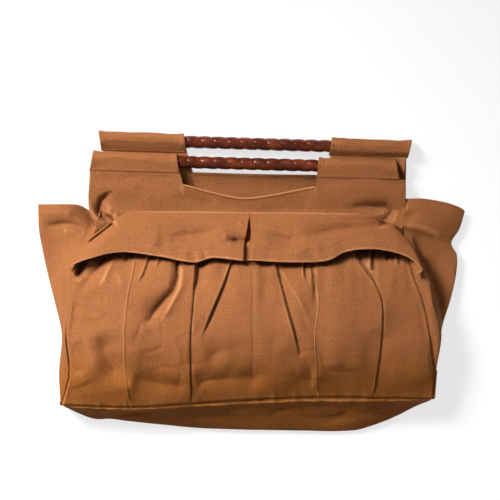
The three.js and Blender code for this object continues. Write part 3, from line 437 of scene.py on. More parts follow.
# Lights: a place, an aim and a width in metres, a spread in degrees, a power in watts and a colour.
LIGHTS = {
    "Key light": ((-1.245, 1.0, 1.245), (-0.25, -0.07, 0.03), 0.98, 37.0, 10.8, (1.0, 1.0, 1.0)),
    "Fill light": ((0.9, -0.6, 1.8), (0.0, 0.0, 0.0), 1.6, 180.0, 5.0, (1.0, 0.92, 0.75)),
}


# Curves and noise


def mix(a, b, t):
    """Straight blend from a to b."""
    return a + (b - a) * t


def smooth(x, low, high):
    """Ease from 0 at low to 1 at high, level at both ends."""
    t = np.clip((x - low) / (high - low), 0, 1)
    return t * t * (3 - 2 * t)


def window(x, start, full, ebb, end):
    """Ease from 0 up to 1, and later back to 0."""
    return smooth(x, start, full) * (1 - smooth(x, ebb, end))


def bell(x, reach):
    """A hump of height 1 about x = 0, down to about a third at the reach."""
    return np.exp(-((x / reach) ** 2))


def read(columns, name, at):
    """A smooth curve through one column of a table, read along its first: cubic pieces whose slopes are
    the differences between the two neighbours, held level outside the table."""
    xs, ys = next(iter(columns.values())), columns[name]
    order = np.arange(len(xs))
    before, after = np.maximum(order - 1, 0), np.minimum(order + 1, order[-1])
    slope = (ys[after] - ys[before]) / (xs[after] - xs[before])
    at = np.clip(at, xs[0], xs[-1])
    i = np.clip(np.searchsorted(xs, at) - 1, 0, order[-1] - 1)
    span = xs[i + 1] - xs[i]
    t = (at - xs[i]) / span
    rise = mix(ys[i], ys[i + 1], t * t * (3 - 2 * t))
    return rise + span * t * (1 - t) * ((1 - t) * slope[i] - t * slope[i + 1])


def through(points, shares):
    """A centripetal curve through each row of points, at shares of the way counted from point to point."""
    first = 2 * points[:, :1] - points[:, 1:2]
    last = 2 * points[:, -1:] - points[:, -2:-1]
    line = np.concatenate([first, points, last], axis=1)
    spans = points.shape[1] - 1
    place = np.clip(shares * spans, 0, spans - 1e-9)
    i = place.astype(int)
    t = (place - i)[None, :, None]
    p0, p1, p2, p3 = (line[:, i + k] for k in range(4))

    def step(a, b):
        return np.maximum(np.linalg.norm(b - a, axis=-1, keepdims=True) ** 0.5, 1e-4)

    d0, d1, d2 = step(p0, p1), step(p1, p2), step(p2, p3)
    m1 = ((p1 - p0) / d0 - (p2 - p0) / (d0 + d1) + (p2 - p1) / d1) * d1
    m2 = ((p2 - p1) / d1 - (p3 - p1) / (d1 + d2) + (p3 - p2) / d2) * d1
    return p1 + m1 * t + (3 * (p2 - p1) - 2 * m1 - m2) * t**2 + (2 * (p1 - p2) + m1 + m2) * t**3


def wander(x, y, cell_x, cell_y, seed):
    """Smooth noise from -1 to 1: random values at the corners of cells, eased between them."""
    values = np.random.default_rng(seed).uniform(-1, 1, (64, 64))
    x, y = np.broadcast_arrays(x / cell_x, y / cell_y)
    i, j = np.floor(x).astype(int), np.floor(y).astype(int)
    u, v = smooth(x - i, 0, 1), smooth(y - j, 0, 1)
    low = mix(values[i % 64, j % 64], values[(i + 1) % 64, j % 64], u)
    high = mix(values[i % 64, (j + 1) % 64], values[(i + 1) % 64, (j + 1) % 64], u)
    return mix(low, high, v)


def ripple(rows, x, y, seed=0):
    """The sum of smooth noises, each with its own height and cells."""
    return sum(height * wander(x, y, cell_x, cell_y, seed + own) for height, cell_x, cell_y, own in rows)


def pressed(row, x, y, seed=0):
    """Patches of fine pressed creases: a narrow dip wherever one noise passes nought, left only where a
    broader noise is high."""
    depth, cell_x, cell_y, own = row
    dip = bell(wander(x, y, cell_x, cell_y, seed + own), CREASE_REACH)
    broad = wander(x, y, 3 * cell_x, 3 * cell_y, seed + own + 100)
    return depth * (dip * smooth(broad, *CREASE_PATCHES))


def along_path(path, x, y):
    """Where places lie against a path of straight stretches: how far to its right (below 0 to its left)
    and the share of its length passed, both at the nearest stretch."""
    path = np.array(path, float)
    start, run = path[:-1], np.diff(path, axis=0)
    length = np.hypot(run[:, 0], run[:, 1])
    dx, dy = x[..., None] - start[:, 0], y[..., None] - start[:, 1]
    t = np.clip((dx * run[:, 0] + dy * run[:, 1]) / length**2, 0, 1)
    away = np.hypot(dx - t * run[:, 0], dy - t * run[:, 1])
    away = np.where(dx * run[:, 1] - dy * run[:, 0] < 0, away, -away)
    passed = (np.cumsum(length) - length + t * length) / length.sum()
    nearest = np.argmin(np.abs(away), axis=-1)[..., None]
    return tuple(np.take_along_axis(values, nearest, -1)[..., 0] for values in (away, passed))


def fade(passed, fade_in, fade_out):
    """Ease in at a path's start and out at its end, over shares of its length."""
    ends = smooth(passed, -1e-6, fade_in) if fade_in else 1.0
    return ends * (1 - smooth(passed, 1 - fade_out, 1.000001)) if fade_out else ends


def fall(away, reach):
    """Fall-off from 1 with the distance from a path, rounder than an exponential."""
    return np.exp(-((np.abs(away) / reach) ** 1.4))


def fold_height(folds, x, y):
    """The height that folds add at places: for each fold, its height times a fall-off with the distance
    from its path, faded towards its two ends."""
    total = np.zeros(np.broadcast(x, y).shape)
    for path, height, right, left, fade_in, fade_out in folds:
        away, passed = along_path(path, x, y)
        total += height * fade(passed, fade_in, fade_out) * fall(away, np.where(away > 0, right, left))
    return total


def edge_height(edges, x, y):
    """The height that folded-over edges add at places: raised on one side of the path and sunk on the
    other, each with its own fall-off, with a short ease from one to the other across the path."""
    total = np.zeros(np.broadcast(x, y).shape)
    for path, raised, back, sunk, ahead, fade_in, fade_out in edges:
        away, passed = along_path(path, x, y)
        over = 1 - smooth(away, -EDGE_EASE, EDGE_EASE)
        step = over * raised * fall(away, back) - (1 - over) * sunk * fall(away, ahead)
        total += fade(passed, fade_in, fade_out) * step
    return total


def front_crown(x, y):
    """Outer height of the front without pleats: from the crown it falls to the side seams with a power
    of the share of the half-width."""
    left, right = read(FRONT, "left", y), read(FRONT, "right", y)
    across = np.clip(np.abs((2 * x - left - right) / (right - left)), 0, 1)
    return mix(read(FRONT, "crown", y), read(FRONT, "edge", y), across**CROWN_POWER)


def yoke_bottom(x):
    """Lower edge of the front yoke: straight pieces."""
    xs, ys = YOKE_BOTTOM["x"], YOKE_BOTTOM["y"]
    i = np.clip(np.searchsorted(xs, x) - 1, 0, len(xs) - 2)
    return mix(ys[i], ys[i + 1], (x - xs[i]) / (xs[i + 1] - xs[i]))


def axis_y(handle, x):
    """A handle's axis: a straight line that leans with x."""
    return handle["y"] + handle["lean"] * x


def stitch_y(handle, x):
    """The stitch line under a handle's casings."""
    return axis_y(handle, x) - np.where(x < 0, *handle["tails"])


# Surfaces of the cloth


def stack(x, y, z):
    """Three broadcast coordinates as one grid of points."""
    return np.stack(np.broadcast_arrays(x, y, z), axis=-1).astype(float)


def seam_depth(side, level):
    """Depth of a side seam's groove: the left one is shallow above the middle of the bag."""
    return mix(SIDE_GROOVE, SIDE_GROOVE_TOP[side], smooth(level, *SIDE_GROOVE_EASE))


def front_columns(edges, overlap):
    """Places across the front, how far each column belongs to a raised pleat, and how far the pleats' rims
    are worn. Between two pleat edges x goes straight across; through an edge it doubles back by a sine, so
    that the pleat hangs over the cloth beside it by the overlap."""
    xs, lifts, rim_highlights = [], [], []
    for strip, cells in enumerate(STRIP_CELLS):
        last = strip == len(STRIP_CELLS) - 1
        low = edges[strip] + (FOLD_HALF if strip else 0)
        high = edges[strip + 1] - (0 if last else FOLD_HALF)
        share = np.linspace(0, 1, cells + 1)[None]
        if not strip:
            share = share**SIDE_CROWDING
        elif last:
            share = 1 - (1 - share) ** SIDE_CROWDING
        xs.append(mix(low, high, share))
        lifts.append(np.full((1, cells + 1), strip % 2))
        rim_highlights.append(np.zeros((1, cells + 1)))
        if not last:
            q = np.linspace(-1, 1, FOLD_CELLS + 1)[None, 1:-1]
            xs.append(edges[strip + 1] + FOLD_HALF * q - overlap * np.sin(np.pi * q))
            lifts.append(mix(strip % 2, 1 - strip % 2, smooth(q, -FOLD_TURN, FOLD_TURN)))
            rim_highlights.append(RIM_HIGHLIGHT[strip] * bell(q - RIM_AT * (-1) ** strip, RIM_REACH))
    return np.hstack(xs), np.hstack(lifts), np.hstack(rim_highlights)


def front_covered(y, from_left, from_right):
    """How far the flap presses the front down: it eases in up the bag, and in from each side seam, nearer
    to the seams where the yoke covers them too."""
    under_yoke = smooth(y, *YOKE_COVERS)
    covered = FLAP_PRESS * smooth(y, *FLAP_COVERS)
    for away, corner in zip((from_left, from_right), FLAP_CORNERS):
        covered = covered * np.maximum(smooth(away, *corner), under_yoke * smooth(away, 0, YOKE_CORNER))
    return covered


def front_surface(sizes):
    """The front: columns run from side seam to side seam, rows from the base seam up. Its height is the
    crown, plus the raised pleats, the folds and the wrinkles, less the seams' grooves and what the flap
    presses down. With the grid comes a row of how far the pleats' rims are worn."""
    v = np.linspace(0, 1, FRONT_ROWS)[:, None]
    level = mix(FRONT["y"][0], TOP_Y, v)
    edges = [read(FRONT, name, level) for name in STRIP_EDGES]
    x, raised, rim_highlights = front_columns(edges, sizes.pleat_overlap / MM * smooth(v, 0, PLEAT_OPENS))
    y = level + (read(BASE_SEAM, "y", x) - FRONT["y"][0]) * (1 - smooth(v, 0, SEAM_SAG))
    free = smooth(v, 0, SEAM_HOLD)
    tuck = sum(
        depth * bell(x - edge, TUCK_REACH) for depth, edge in zip(TUCK_DEPTHS, edges[1:-1])
    ) * (1 - raised) * free
    pleats = sizes.pleat_lift / MM * raised * mix(PLEAT_SEWN, 1, free)
    gathers = smooth(y, *GATHERS_FROM) * ripple(FRONT_GATHERS, x, y)
    waves = ripple(FRONT_WAVES, x, y) - pressed(FRONT_CREASES, x, y)
    from_left, from_right = x - edges[0], edges[-1] - x
    inside = smooth(from_left, 0, SEAM_CALM) * smooth(from_right, 0, SEAM_CALM)
    folds = fold_height(FRONT_FOLDS, x, y) + edge_height(FRONT_EDGES, x, y)
    folds = (folds + gathers + waves) * inside
    in_sight = 1 - smooth(y, *PLEATS_END)
    seam = sum(
        seam_depth(side, level) * bell(away, SEAM_GROOVE_REACH)
        for side, away in ((-1, from_left), (1, from_right))
    )
    low = level - FRONT["y"][0]
    puckers = ripple(FRONT_PUCKERS, x, y) * bell(low, PUCKER_REACH)
    z = front_crown(x, level) + (pleats - tuck + folds * free) * in_sight + puckers
    z = z - front_covered(y, from_left, from_right)
    return stack(x, y, z - seam - SEAM_GROOVE * bell(low, SEAM_GROOVE_REACH)), rim_highlights


def gusset_surface(columns, rise, seam, side, folds, edges, seed):
    """A side gusset: each row is a smooth curve from the front seam over a ridge, a valley and the outer
    fold to the floor and the back seam. Rows follow the front's; the ear's mouth rises with its own curve."""
    v = np.linspace(0, 1, FRONT_ROWS)
    level = mix(FRONT["y"][0], TOP_Y, v)
    at = {name: read(columns, name, level) for name in columns if name != "y"}
    floor_x = mix(at["foldX"], at["backX"], mix(*GUSSET_FLOOR, at["stand"]))
    depth = seam_depth(side, level)
    places = np.array([
        [seam[:, 0], seam[:, 2] + depth],
        [seam[:, 0] + side * at["ridge"], seam[:, 2] + depth - RIDGE_DROP],
        [at["valleyX"], at["valleyZ"]],
        [at["foldX"], at["foldZ"]],
        [floor_x, at["foldZ"] * GUSSET_FOOT * at["stand"]],
        [at["backX"], 0 * v],
    ]).transpose(2, 0, 1)
    g = np.linspace(0, 1, GUSSET_CELLS + 1)
    section = through(places, g)
    v, g = v[:, None], g[None]
    skew = GUSSET_SKEW * g * (1 - smooth(v, 0, SEAM_SAG))
    y = seam[:, 1:2] + skew + read(rise, "up", g) * smooth(v, EAR_FROM, 1)
    x, z = section[..., 0], section[..., 1]
    upper = window(g, *GUSSET_WRINKLED)
    ripples = ripple(GUSSET_WAVES, x + z, y, seed) - pressed(GUSSET_CREASES, x + z, y, seed)
    reach = SEAM_GROOVE_REACH if side < 0 else RIGHT_SEAM_REACH
    groove = depth[:, None] * bell(x - seam[:, :1], reach) * (1 - smooth(g, *GROOVE_END))
    creases = fold_height(folds, x, y) * smooth(v, *EAR_FOLDS_FROM) + edge_height(edges, x, y)
    raised = z + (creases + ripples) * upper - groove
    floor = LAYER_GAP * (1 - smooth(g, *GUSSET_UNDER))
    return stack(x, y, np.maximum(raised, floor))


def base_surface(front, left, right):
    """The base: each column is a smooth curve from the front seam over the bulge to the back seam, and
    its two end columns are the gussets' lowest rows. A ridge of turned-in cloth runs below the seam."""
    seam = front[0]
    share = (seam[:, 0] - seam[0, 0]) / (seam[-1, 0] - seam[0, 0])
    low = back_edge(left, right, share)
    places = [seam]
    even = front_crown(seam[:, 0], FRONT["y"][0])
    for across, reach, height in BASE_SECTION:
        x = mix(seam[:, 0], low[:, 0], across)
        places.append(stack(x, mix(seam[:, 1], read(BASE_BULGE, "y", x), reach), even * height))
    w = np.linspace(0, 1, GUSSET_CELLS + 1)
    grid = through(np.stack([*places, low], axis=1), w).transpose(1, 0, 2)
    w = w[:, None]
    inside = smooth(np.minimum(share, 1 - share), 0, BASE_ENDS)[None]
    x, y = grid[..., 0], grid[..., 1]
    height, at, reach = BASE_RIDGE
    ridge = height * bell(w - at, reach)
    at, reach = BASE_PUCKERED
    puckers = ripple(BASE_PUCKERS, x, y) * bell(w - at, reach) * smooth(w, 0, BASE_SEWN)
    waves = (ripple(BASE_WAVES, x, y) - pressed(BASE_CREASES, x, y)) * smooth(w, BASE_SEWN, BASE_WAVED)
    folds = fold_height(BASE_FOLDS, x, y) * smooth(w, BASE_SEWN, BASE_FOLDED)
    out = (ridge + puckers + waves + folds) * inside * (1 - smooth(w, *BASE_CALM))
    grid[..., 1] -= BASE_OUT * out
    grid[..., 2] = np.maximum(grid[..., 2] + BASE_UP * out, 0)
    grid[:, 0], grid[:, -1] = left[0], right[0]
    return grid[::-1]


def back_edge(left, right, share):
    """Lower edge of the back: under the base's bulge, running out to the gussets' corners at its ends."""
    a, b = left[0, -1], right[0, -1]
    x = mix(a[0], b[0], share)
    inside = smooth(np.minimum(share, 1 - share), 0, BASE_CORNER)
    y = mix(mix(a[1], b[1], share), read(BASE_BULGE, "y", x) + BASE_TUCK, inside)
    return stack(x, y, 0)


def back_surface(left, right):
    """The back: flat on the floor, its rows from the base seam up and its columns from seam to seam."""
    share = np.linspace(0, 1, BACK_COLUMNS)
    low = back_edge(left, right, share)
    y = mix(low[None, :, 1], REAR_BOTTOM - BACK_GAP, np.linspace(0, 1, BACK_ROWS)[:, None])
    ends = [np.interp(y, edge[:, 1], edge[:, 0]) for edge in (left[:, -1], right[:, -1])]
    ripples = 0.5 + ripple(BACK_WAVES, share[None] * BACK_WIDTH, y)
    inside = smooth(np.minimum(share, 1 - share), 0, BACK_SIDES) * smooth(y - low[None, :, 1], 0, BACK_FOOT)
    grid = stack(mix(*ends, share[None]), y, BACK_SWELL * ripples * inside)
    return grid[:, ::-1]


def flap_surface(s, t, sizes, shift=0.0, sunk=0.0):
    """The flap: s runs along it and t from its seam at 0 to its hem at 1. Its place goes straight from
    seam to hem; it stands off the front by a lift that grows with the root of t, an arch between, its
    folds and the turned hem. shift moves a place along it, and sunk lowers the centre pleat."""
    down = np.clip(t, 0, 1)
    top_x, hem_x = read(FLAP, "topX", s), read(FLAP, "hemX", s)
    top_y, hem_y = yoke_bottom(top_x) + FLAP_SEAM, read(FLAP, "hemY", s)
    bow = read(FLAP, "bow", s) * 4 * down * (1 - down)
    x, y = mix(top_x, hem_x, t) + bow + shift, mix(top_y, hem_y, t)
    lift = read(FLAP, "lift", s) * np.sqrt(down) + FLAP_ARCH * 4 * down * (1 - down)
    from_hem = (1 - t) * np.hypot(top_x - hem_x, top_y - hem_y)
    hem = sizes.hem_width / MM
    band = HEM_STEP * (1 - smooth(from_hem, hem + HEM_EASE[0], hem + HEM_EASE[1]))
    band = band - HEM_PULL * bell(from_hem - hem, HEM_PULL_REACH)
    band = band - HEM_ROUND * bell(from_hem, HEM_ROUND_REACH)
    waves = ripple(FLAP_WAVES, x, y) - pressed(FLAP_CREASES, x, y)
    folds = (fold_height(FLAP_FOLDS, x, y) + waves) * smooth(down, 0, FLAP_CALM) + band
    over_yoke = FLAP_OVER + FLAP_ROLL * bell(t * (top_y - hem_y), FLAP_ROLL_REACH)
    pleat = sunk * FLAP_SLIT_DEPTH * smooth(t, 0, SLIT_SINKS)
    return stack(x, y, front_crown(x, y) + LAP + lift + folds - pleat + over_yoke)


def flap_hem_share(s, sizes):
    """Share of the flap's drop at which its hem is stitched."""
    top_x, hem_x = read(FLAP, "topX", s), read(FLAP, "hemX", s)
    drop = np.hypot(top_x - hem_x, yoke_bottom(top_x) - read(FLAP, "hemY", s))
    return 1 - sizes.hem_width / MM / drop


def flap_grid(sizes):
    """The whole flap: its left half, one side of the inverted centre pleat, the pleat's sunk back, its
    other side and the right half. Each side of the pleat doubles back by a sine, as the front's do."""
    t = np.linspace(1, -FLAP_TUCKED, FLAP_ROWS)[:, None]
    half, centre = read(FLAP_SLIT, "half", t), read(FLAP_SLIT, "centre", t)
    width = SLIT_SIDE * half
    middle = mix(read(FLAP, "topX", 0.5), read(FLAP, "hemX", 0.5), t)
    overlap = width * mix(*SLIT_OVERLAP, smooth(t, 0, SLIT_OPENS))
    left_tip, right_tip = FLAP["s"][1], FLAP["s"][-2]
    tip = np.linspace(0, left_tip, TIP_COLUMNS)
    left = np.concatenate([tip, np.linspace(left_tip, 0.5, FLAP_COLUMNS)[1:]])[None]
    right = np.concatenate([np.linspace(0.5, right_tip, FLAP_COLUMNS)[:-1], 1 - tip[::-1]])[None]
    q = np.linspace(-1, 1, SLIT_COLUMNS)[None, 1:-1]
    blocks = []
    for share, side in ((left, -1), (right, 1)):
        shift = (centre + side * (half + width) - middle) * smooth(np.abs(share - 0.5), SLIT_DRAWS, 0)
        blocks.append(flap_surface(share, t, sizes, shift))
    side = width * q - overlap * np.sin(np.pi * q)
    step = smooth(q, -FOLD_TURN, FOLD_TURN)
    back = mix(width - half, half - width, np.linspace(0, 1, SLIT_BACK_COLUMNS)[None])
    sides = [
        (centre - half + side - middle, step),
        (centre + back - middle, np.ones((1, SLIT_BACK_COLUMNS))),
        (centre + half + side - middle, 1 - step),
    ]
    sunk = [flap_surface(np.full_like(place, 0.5), t, sizes, place, deep) for place, deep in sides]
    return np.concatenate([blocks[0], *sunk, blocks[1]], axis=1)


def along_hole(hole, x):
    """Whether places lie between the two ends of a hand hole."""
    return (x >= hole["x"][0]) & (x <= hole["x"][-1])


def front_yoke_surface(x, y, side):
    """The front yoke: it lies on the front up to its top edge and rises by an ease to the casings' stitch
    line, with its own dents. side is how much of the outward swing of its edges a place takes."""
    stitch_z = FRONT_HANDLE["z"] + FRONT_HANDLE["tip"]
    rise = smooth(y, *YOKE_RISE)
    swing = np.where(x < 0, -read(YOKE_SWAY, "left", y), read(YOKE_SWAY, "right", y))
    waves = ripple(YOKE_WAVES, x, y) - pressed(YOKE_CREASES, x, y)
    under_hole = read(FRONT_HOLE, "y", x) - y
    hem = sum(height * bell(under_hole - at, reach) for height, at, reach in YOKE_HEM)
    edge = hem * along_hole(FRONT_HOLE, x) - YOKE_EDGE * bell(y - yoke_bottom(x), YOKE_EDGE_REACH)
    dents = fold_height(YOKE_FOLDS, x, y) + waves
    held = 1 - YOKE_HELD * bell(y - stitch_y(FRONT_HANDLE, x), YOKE_HELD_REACH)
    low = smooth(y - yoke_bottom(x), *YOKE_CALM)
    z = mix(front_crown(x, y) + LAP, stitch_z, rise) + np.maximum(dents * low * held, -YOKE_DENT) + edge
    return stack(x + swing * side, y, z)


def rear_yoke_surface(x, y, _):
    """The rear yoke: flat on the floor with slight ripples, its outer face up and its right edge curled.
    Its side edges don't swing."""
    ripples = 0.5 + ripple(REAR_WAVES, x, y)
    edge = REAR_HEM * bell(y - read(REAR_HOLE, "y", x), REAR_HEM_REACH) * along_hole(REAR_HOLE, x)
    height = REAR_HANDLE["z"] + REAR_HANDLE["tip"] - REAR_UNDER
    rise = height * smooth(y, REAR_RISE, stitch_y(REAR_HANDLE, x))
    curl = REAR_CURL * smooth(x, *CURL_ACROSS) * smooth(y, *CURL_UP)
    return stack(x, y, REAR_LOW + REAR_SWELL * ripples + edge + rise + curl)


def yoke_columns(handle, hole, left_x, right_x):
    """Places across a yoke: under its left casing, along the hand hole, and under its right casing, each
    with the height its sheet runs up to and its share of the side edges' swing."""
    in_left, in_right = handle["bare"]
    stretches = (left_x, in_left), (hole["x"][0], hole["x"][-1]), (in_right, right_x)
    x = np.concatenate([np.linspace(*ends, count) for ends, count in zip(stretches, YOKE_COLUMNS)])
    top = np.where(along_hole(hole, x), read(hole, "y", x), stitch_y(handle, x) + YOKE_LAP)
    side = (1 - smooth(x, left_x, in_left)) + smooth(x, in_right, right_x)
    return x, top, side


def yoke_grid(handle, hole, sides, bottom, place, rows):
    """A yoke's sheet, from its lower edge up to its casings and its hand hole."""
    x, top, side = yoke_columns(handle, hole, *sides)
    t = np.linspace(0, 1, rows)[:, None]
    low = bottom(x) if callable(bottom) else np.full_like(x, bottom)
    y = mix(low, top, t)
    return place(np.broadcast_to(x, y.shape), y, side)


def hole_highlight(grid, hole):
    """How pale a yoke's hem is worn along its hand hole, by the distance below the hole's edge."""
    below = grid[-1:, :, 1] - grid[..., 1]
    return HOLE_HIGHLIGHT * bell(below, HOLE_HIGHLIGHT_REACH) * along_hole(hole, grid[..., 0])


def drop_profile(handle, tail):
    """A casing's section in Y and Z about its rod: from its stitched tip over a round and back to the tip
    along straight sides that touch the round. tail is how far the tip lies below the rod."""
    tip = np.array([-tail, handle["tip"]])
    reach = np.hypot(*tip)
    away, spread = np.arctan2(tip[1], tip[0]), np.arccos(CASING_RADIUS / reach)
    turn = np.linspace(away - spread, away + spread - 2 * np.pi, CASING_ARC)
    arc = CASING_RADIUS * np.stack([np.cos(turn), np.sin(turn)], axis=-1)
    share = np.linspace(0, 1, CASING_TAIL)[:-1, None]
    return np.concatenate([mix(tip, arc[0], share), arc, mix(tip, arc[-1], share)[:0:-1]])


def casing_surface(handle, corners, seed):
    """A casing: the drop-shaped section carried along X between two slanting ends, with wrinkles across
    it, a turned hem at its inner end and open ends that flare a little."""
    low_a, low_b, high_a, high_b = corners
    tail = handle["tails"][0 if low_a < 0 else 1]
    profile = drop_profile(handle, tail)
    up = ((profile[:, 0] + tail) / (tail + CASING_RADIUS))[:, None]
    s = np.linspace(0, 1, CASING_COLUMNS)[None]
    start, stop = mix(low_a, high_a, up), mix(low_b, high_b, up)
    x = mix(start, stop, s)
    outer, inner = (x - start, stop - x) if low_a < 0 else (stop - x, x - start)
    angle = np.arange(len(profile))[:, None] / len(profile)
    waves = ripple(CASING_WAVES, x, angle * CASING_GIRTH, seed)
    hem = CASING_HEM * (1 - smooth(inner, CASING_HEM_WIDTH - CASING_HEM_EASE, CASING_HEM_WIDTH))
    hem = hem - CASING_PULL * bell(inner - CASING_HEM_WIDTH, CASING_PULL_REACH)
    flare = sum(height * bell(away, reach) for away, (height, reach) in zip((outer, inner), CASING_FLARES))
    round_part = smooth(up, *CASING_ROUND)
    swell = 1 + (waves + hem + flare) * round_part / CASING_RADIUS
    y = axis_y(handle, x) + profile[:, :1] * swell
    z = np.maximum(handle["z"] + profile[:, 1:] * swell, CASING_CLEAR)
    return stack(x, y, z)


def wrap_surface(handle, pitch):
    """A wound strip: a tube whose radius follows the strip's own section, a power of a sine that is low at
    both edges of the strip and leans to one of them, set along a helix; the ends turn in to a bore. With
    the grid come each turn's tone and the share across the strip."""
    xs = np.arange(handle["bare"][0] - WRAP_TUCK, handle["bare"][1] + WRAP_TUCK, WRAP_STEP)
    turn = np.arange(ROUND_SIDES)[:, None] / ROUND_SIDES
    place = xs[None] / pitch + turn
    phase = place - np.floor(place)
    rise = np.sin(np.pi * phase**WRAP_LEAN) ** WRAP_ROUND
    radius = WRAP_RADIUS + WRAP_SWELL * rise + ripple(WRAP_WAVES, xs[None], turn * ROUND_SIDES)
    bore = np.full((ROUND_SIDES, 1), WRAP_BORE)
    radius = np.hstack([radius, bore, bore])
    x = np.concatenate([xs, xs[-1:], xs[:1]])[None]
    angle = -2 * np.pi * turn
    grid = stack(x, axis_y(handle, x) + radius * np.cos(angle), handle["z"] + radius * np.sin(angle))
    tones = np.random.default_rng(WRAP_TONE_SEED).uniform(0, 1, WRAP_TONES)
    tone = tones[np.floor(place).astype(int) % WRAP_TONES]
    ends = np.full((ROUND_SIDES, 2), 0.5)
    return grid, np.hstack([tone, ends]), np.hstack([phase, ends])


def rod_surface(handle):
    """A rod: a circle turned along X, with rounded rims and closed ends."""
    a, b = handle["rod"][0] + ROD_END, handle["rod"][1] - ROD_END
    ease = np.linspace(0, np.pi / 2, ROD_RIM_RINGS)
    rim_x, rim_r = ROD_RIM * (1 - np.cos(ease)), ROD_RADIUS - ROD_RIM * (1 - np.sin(ease))
    between = np.linspace(a + ROD_SHOULDER, b - ROD_SHOULDER, ROD_RINGS)
    xs = np.concatenate([[a], a + rim_x, between, b - rim_x[::-1], [b]])
    radii = np.concatenate([[0], rim_r, np.full(ROD_RINGS, ROD_RADIUS), rim_r[::-1], [0]])
    angle = -2 * np.pi * np.arange(ROUND_SIDES)[:, None] / ROUND_SIDES
    return stack(
        xs[None],
        axis_y(handle, xs[None]) + radii * np.cos(angle),
        handle["z"] + radii * np.sin(angle),
    )


# Meshes


def grid_faces(rows, columns, round_rows=False, round_columns=False):
    """Quads of a grid, with its last line joined to its first where it is closed."""
    index = np.arange(rows * columns).reshape(rows, columns)
    if round_rows:
        index = np.vstack([index, index[:1]])
    if round_columns:
        index = np.hstack([index, index[:, :1]])
    corners = index[:-1, :-1], index[:-1, 1:], index[1:, 1:], index[1:, :-1]
    return np.stack(corners, axis=-1).reshape(-1, 4)


def grid_normals(grid):
    """Unit outward directions: along a row crossed with along a column."""
    normal = np.cross(np.gradient(grid, axis=1), np.gradient(grid, axis=0))
    return normal / np.maximum(np.linalg.norm(normal, axis=-1, keepdims=True), 1e-9)


def crest(grid):
    """How far each point stands out of the mean of its four neighbours, at two distances along the grid,
    weighed, evened out along the columns and held between -1 and 1."""
    normal = grid_normals(grid)
    total = np.zeros(grid.shape[:2])
    for reach, weight in CREST_WEIGHTS.items():
        padded = np.pad(grid, ((reach, reach), (reach, reach), (0, 0)), mode="reflect", reflect_type="odd")
        inner = slice(reach, -reach)
        around = (
            padded[: -2 * reach, inner] + padded[2 * reach :, inner]
            + padded[inner, : -2 * reach] + padded[inner, 2 * reach :]
        ) / 4
        total += weight * np.sum((grid - around) * normal, axis=-1)
    padded = np.pad(total, ((CREST_EVEN, CREST_EVEN), (0, 0)), mode="edge")
    rows = 2 * CREST_EVEN + 1
    return np.clip(sum(padded[k : k + len(total)] for k in range(rows)) / rows, -1, 1)


def cloth_uv(grid):
    """Distances along the cloth in metres: along each row from its middle, and along each column."""
    across = np.linalg.norm(np.diff(grid, axis=1, prepend=grid[:, :1]), axis=-1).cumsum(axis=1)
    along = np.linalg.norm(np.diff(grid, axis=0, prepend=grid[:1]), axis=-1).cumsum(axis=0)
    across = across - across[:, across.shape[1] // 2][:, None]
    return np.stack([across, along], axis=-1) * MM


def add_piece(name, points, faces, material, uv=None, marks=None):
    """A mesh object from points in the bag's millimetres, smooth, riding on the bag's one body."""
    mesh = bpy.data.meshes.new(name)
    mesh.vertices.add(len(points))
    mesh.vertices.foreach_set("co", ((points - CENTRE) * MM).astype(np.float32).ravel())
    mesh.loops.add(faces.size)
    mesh.loops.foreach_set("vertex_index", faces.astype(np.int32).ravel())
    mesh.polygons.add(len(faces))
    mesh.polygons.foreach_set("loop_start", np.arange(0, faces.size, 4, dtype=np.int32))
    mesh.polygons.foreach_set("use_smooth", np.ones(len(faces), dtype=bool))
    if uv is not None:
        layer = mesh.uv_layers.new(name="Cloth")
        layer.data.foreach_set("uv", uv.reshape(-1, 2)[faces.ravel()].astype(np.float32).ravel())
    for mark, values in (marks or {}).items():
        attribute = mesh.attributes.new(mark, "FLOAT", "POINT")
        attribute.data.foreach_set("value", values.astype(np.float32).ravel())
    mesh.update(calc_edges=True)
    mesh.materials.append(material)
    piece = bpy.data.objects.new(name, mesh)
    bpy.context.scene.collection.objects.link(piece)
    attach(piece, BODY)
    return piece


def add_cloth(name, grid, material, thickness, round_rows=False, painted_light=0.0):
    """A cloth panel: a grid of outer points, thickened inwards. worn adds to its crest mark."""
    faces = grid_faces(*grid.shape[:2], round_rows=round_rows)
    marks = {"crest": np.clip(crest(grid) + painted_light, -1, 1)}
    piece = add_piece(name, grid.reshape(-1, 3), faces, material, cloth_uv(grid), marks)
    wall = piece.modifiers.new("Canvas", "SOLIDIFY")
    wall.thickness = thickness
    wall.offset = -1
    return piece


def merge_poles(piece):
    """Joins the points that fall together at the ends of a turned shape."""
    work = bmesh.new()
    work.from_mesh(piece.data)
    bmesh.ops.remove_doubles(work, verts=work.verts, dist=1e-7)
    work.to_mesh(piece.data)
    work.free()


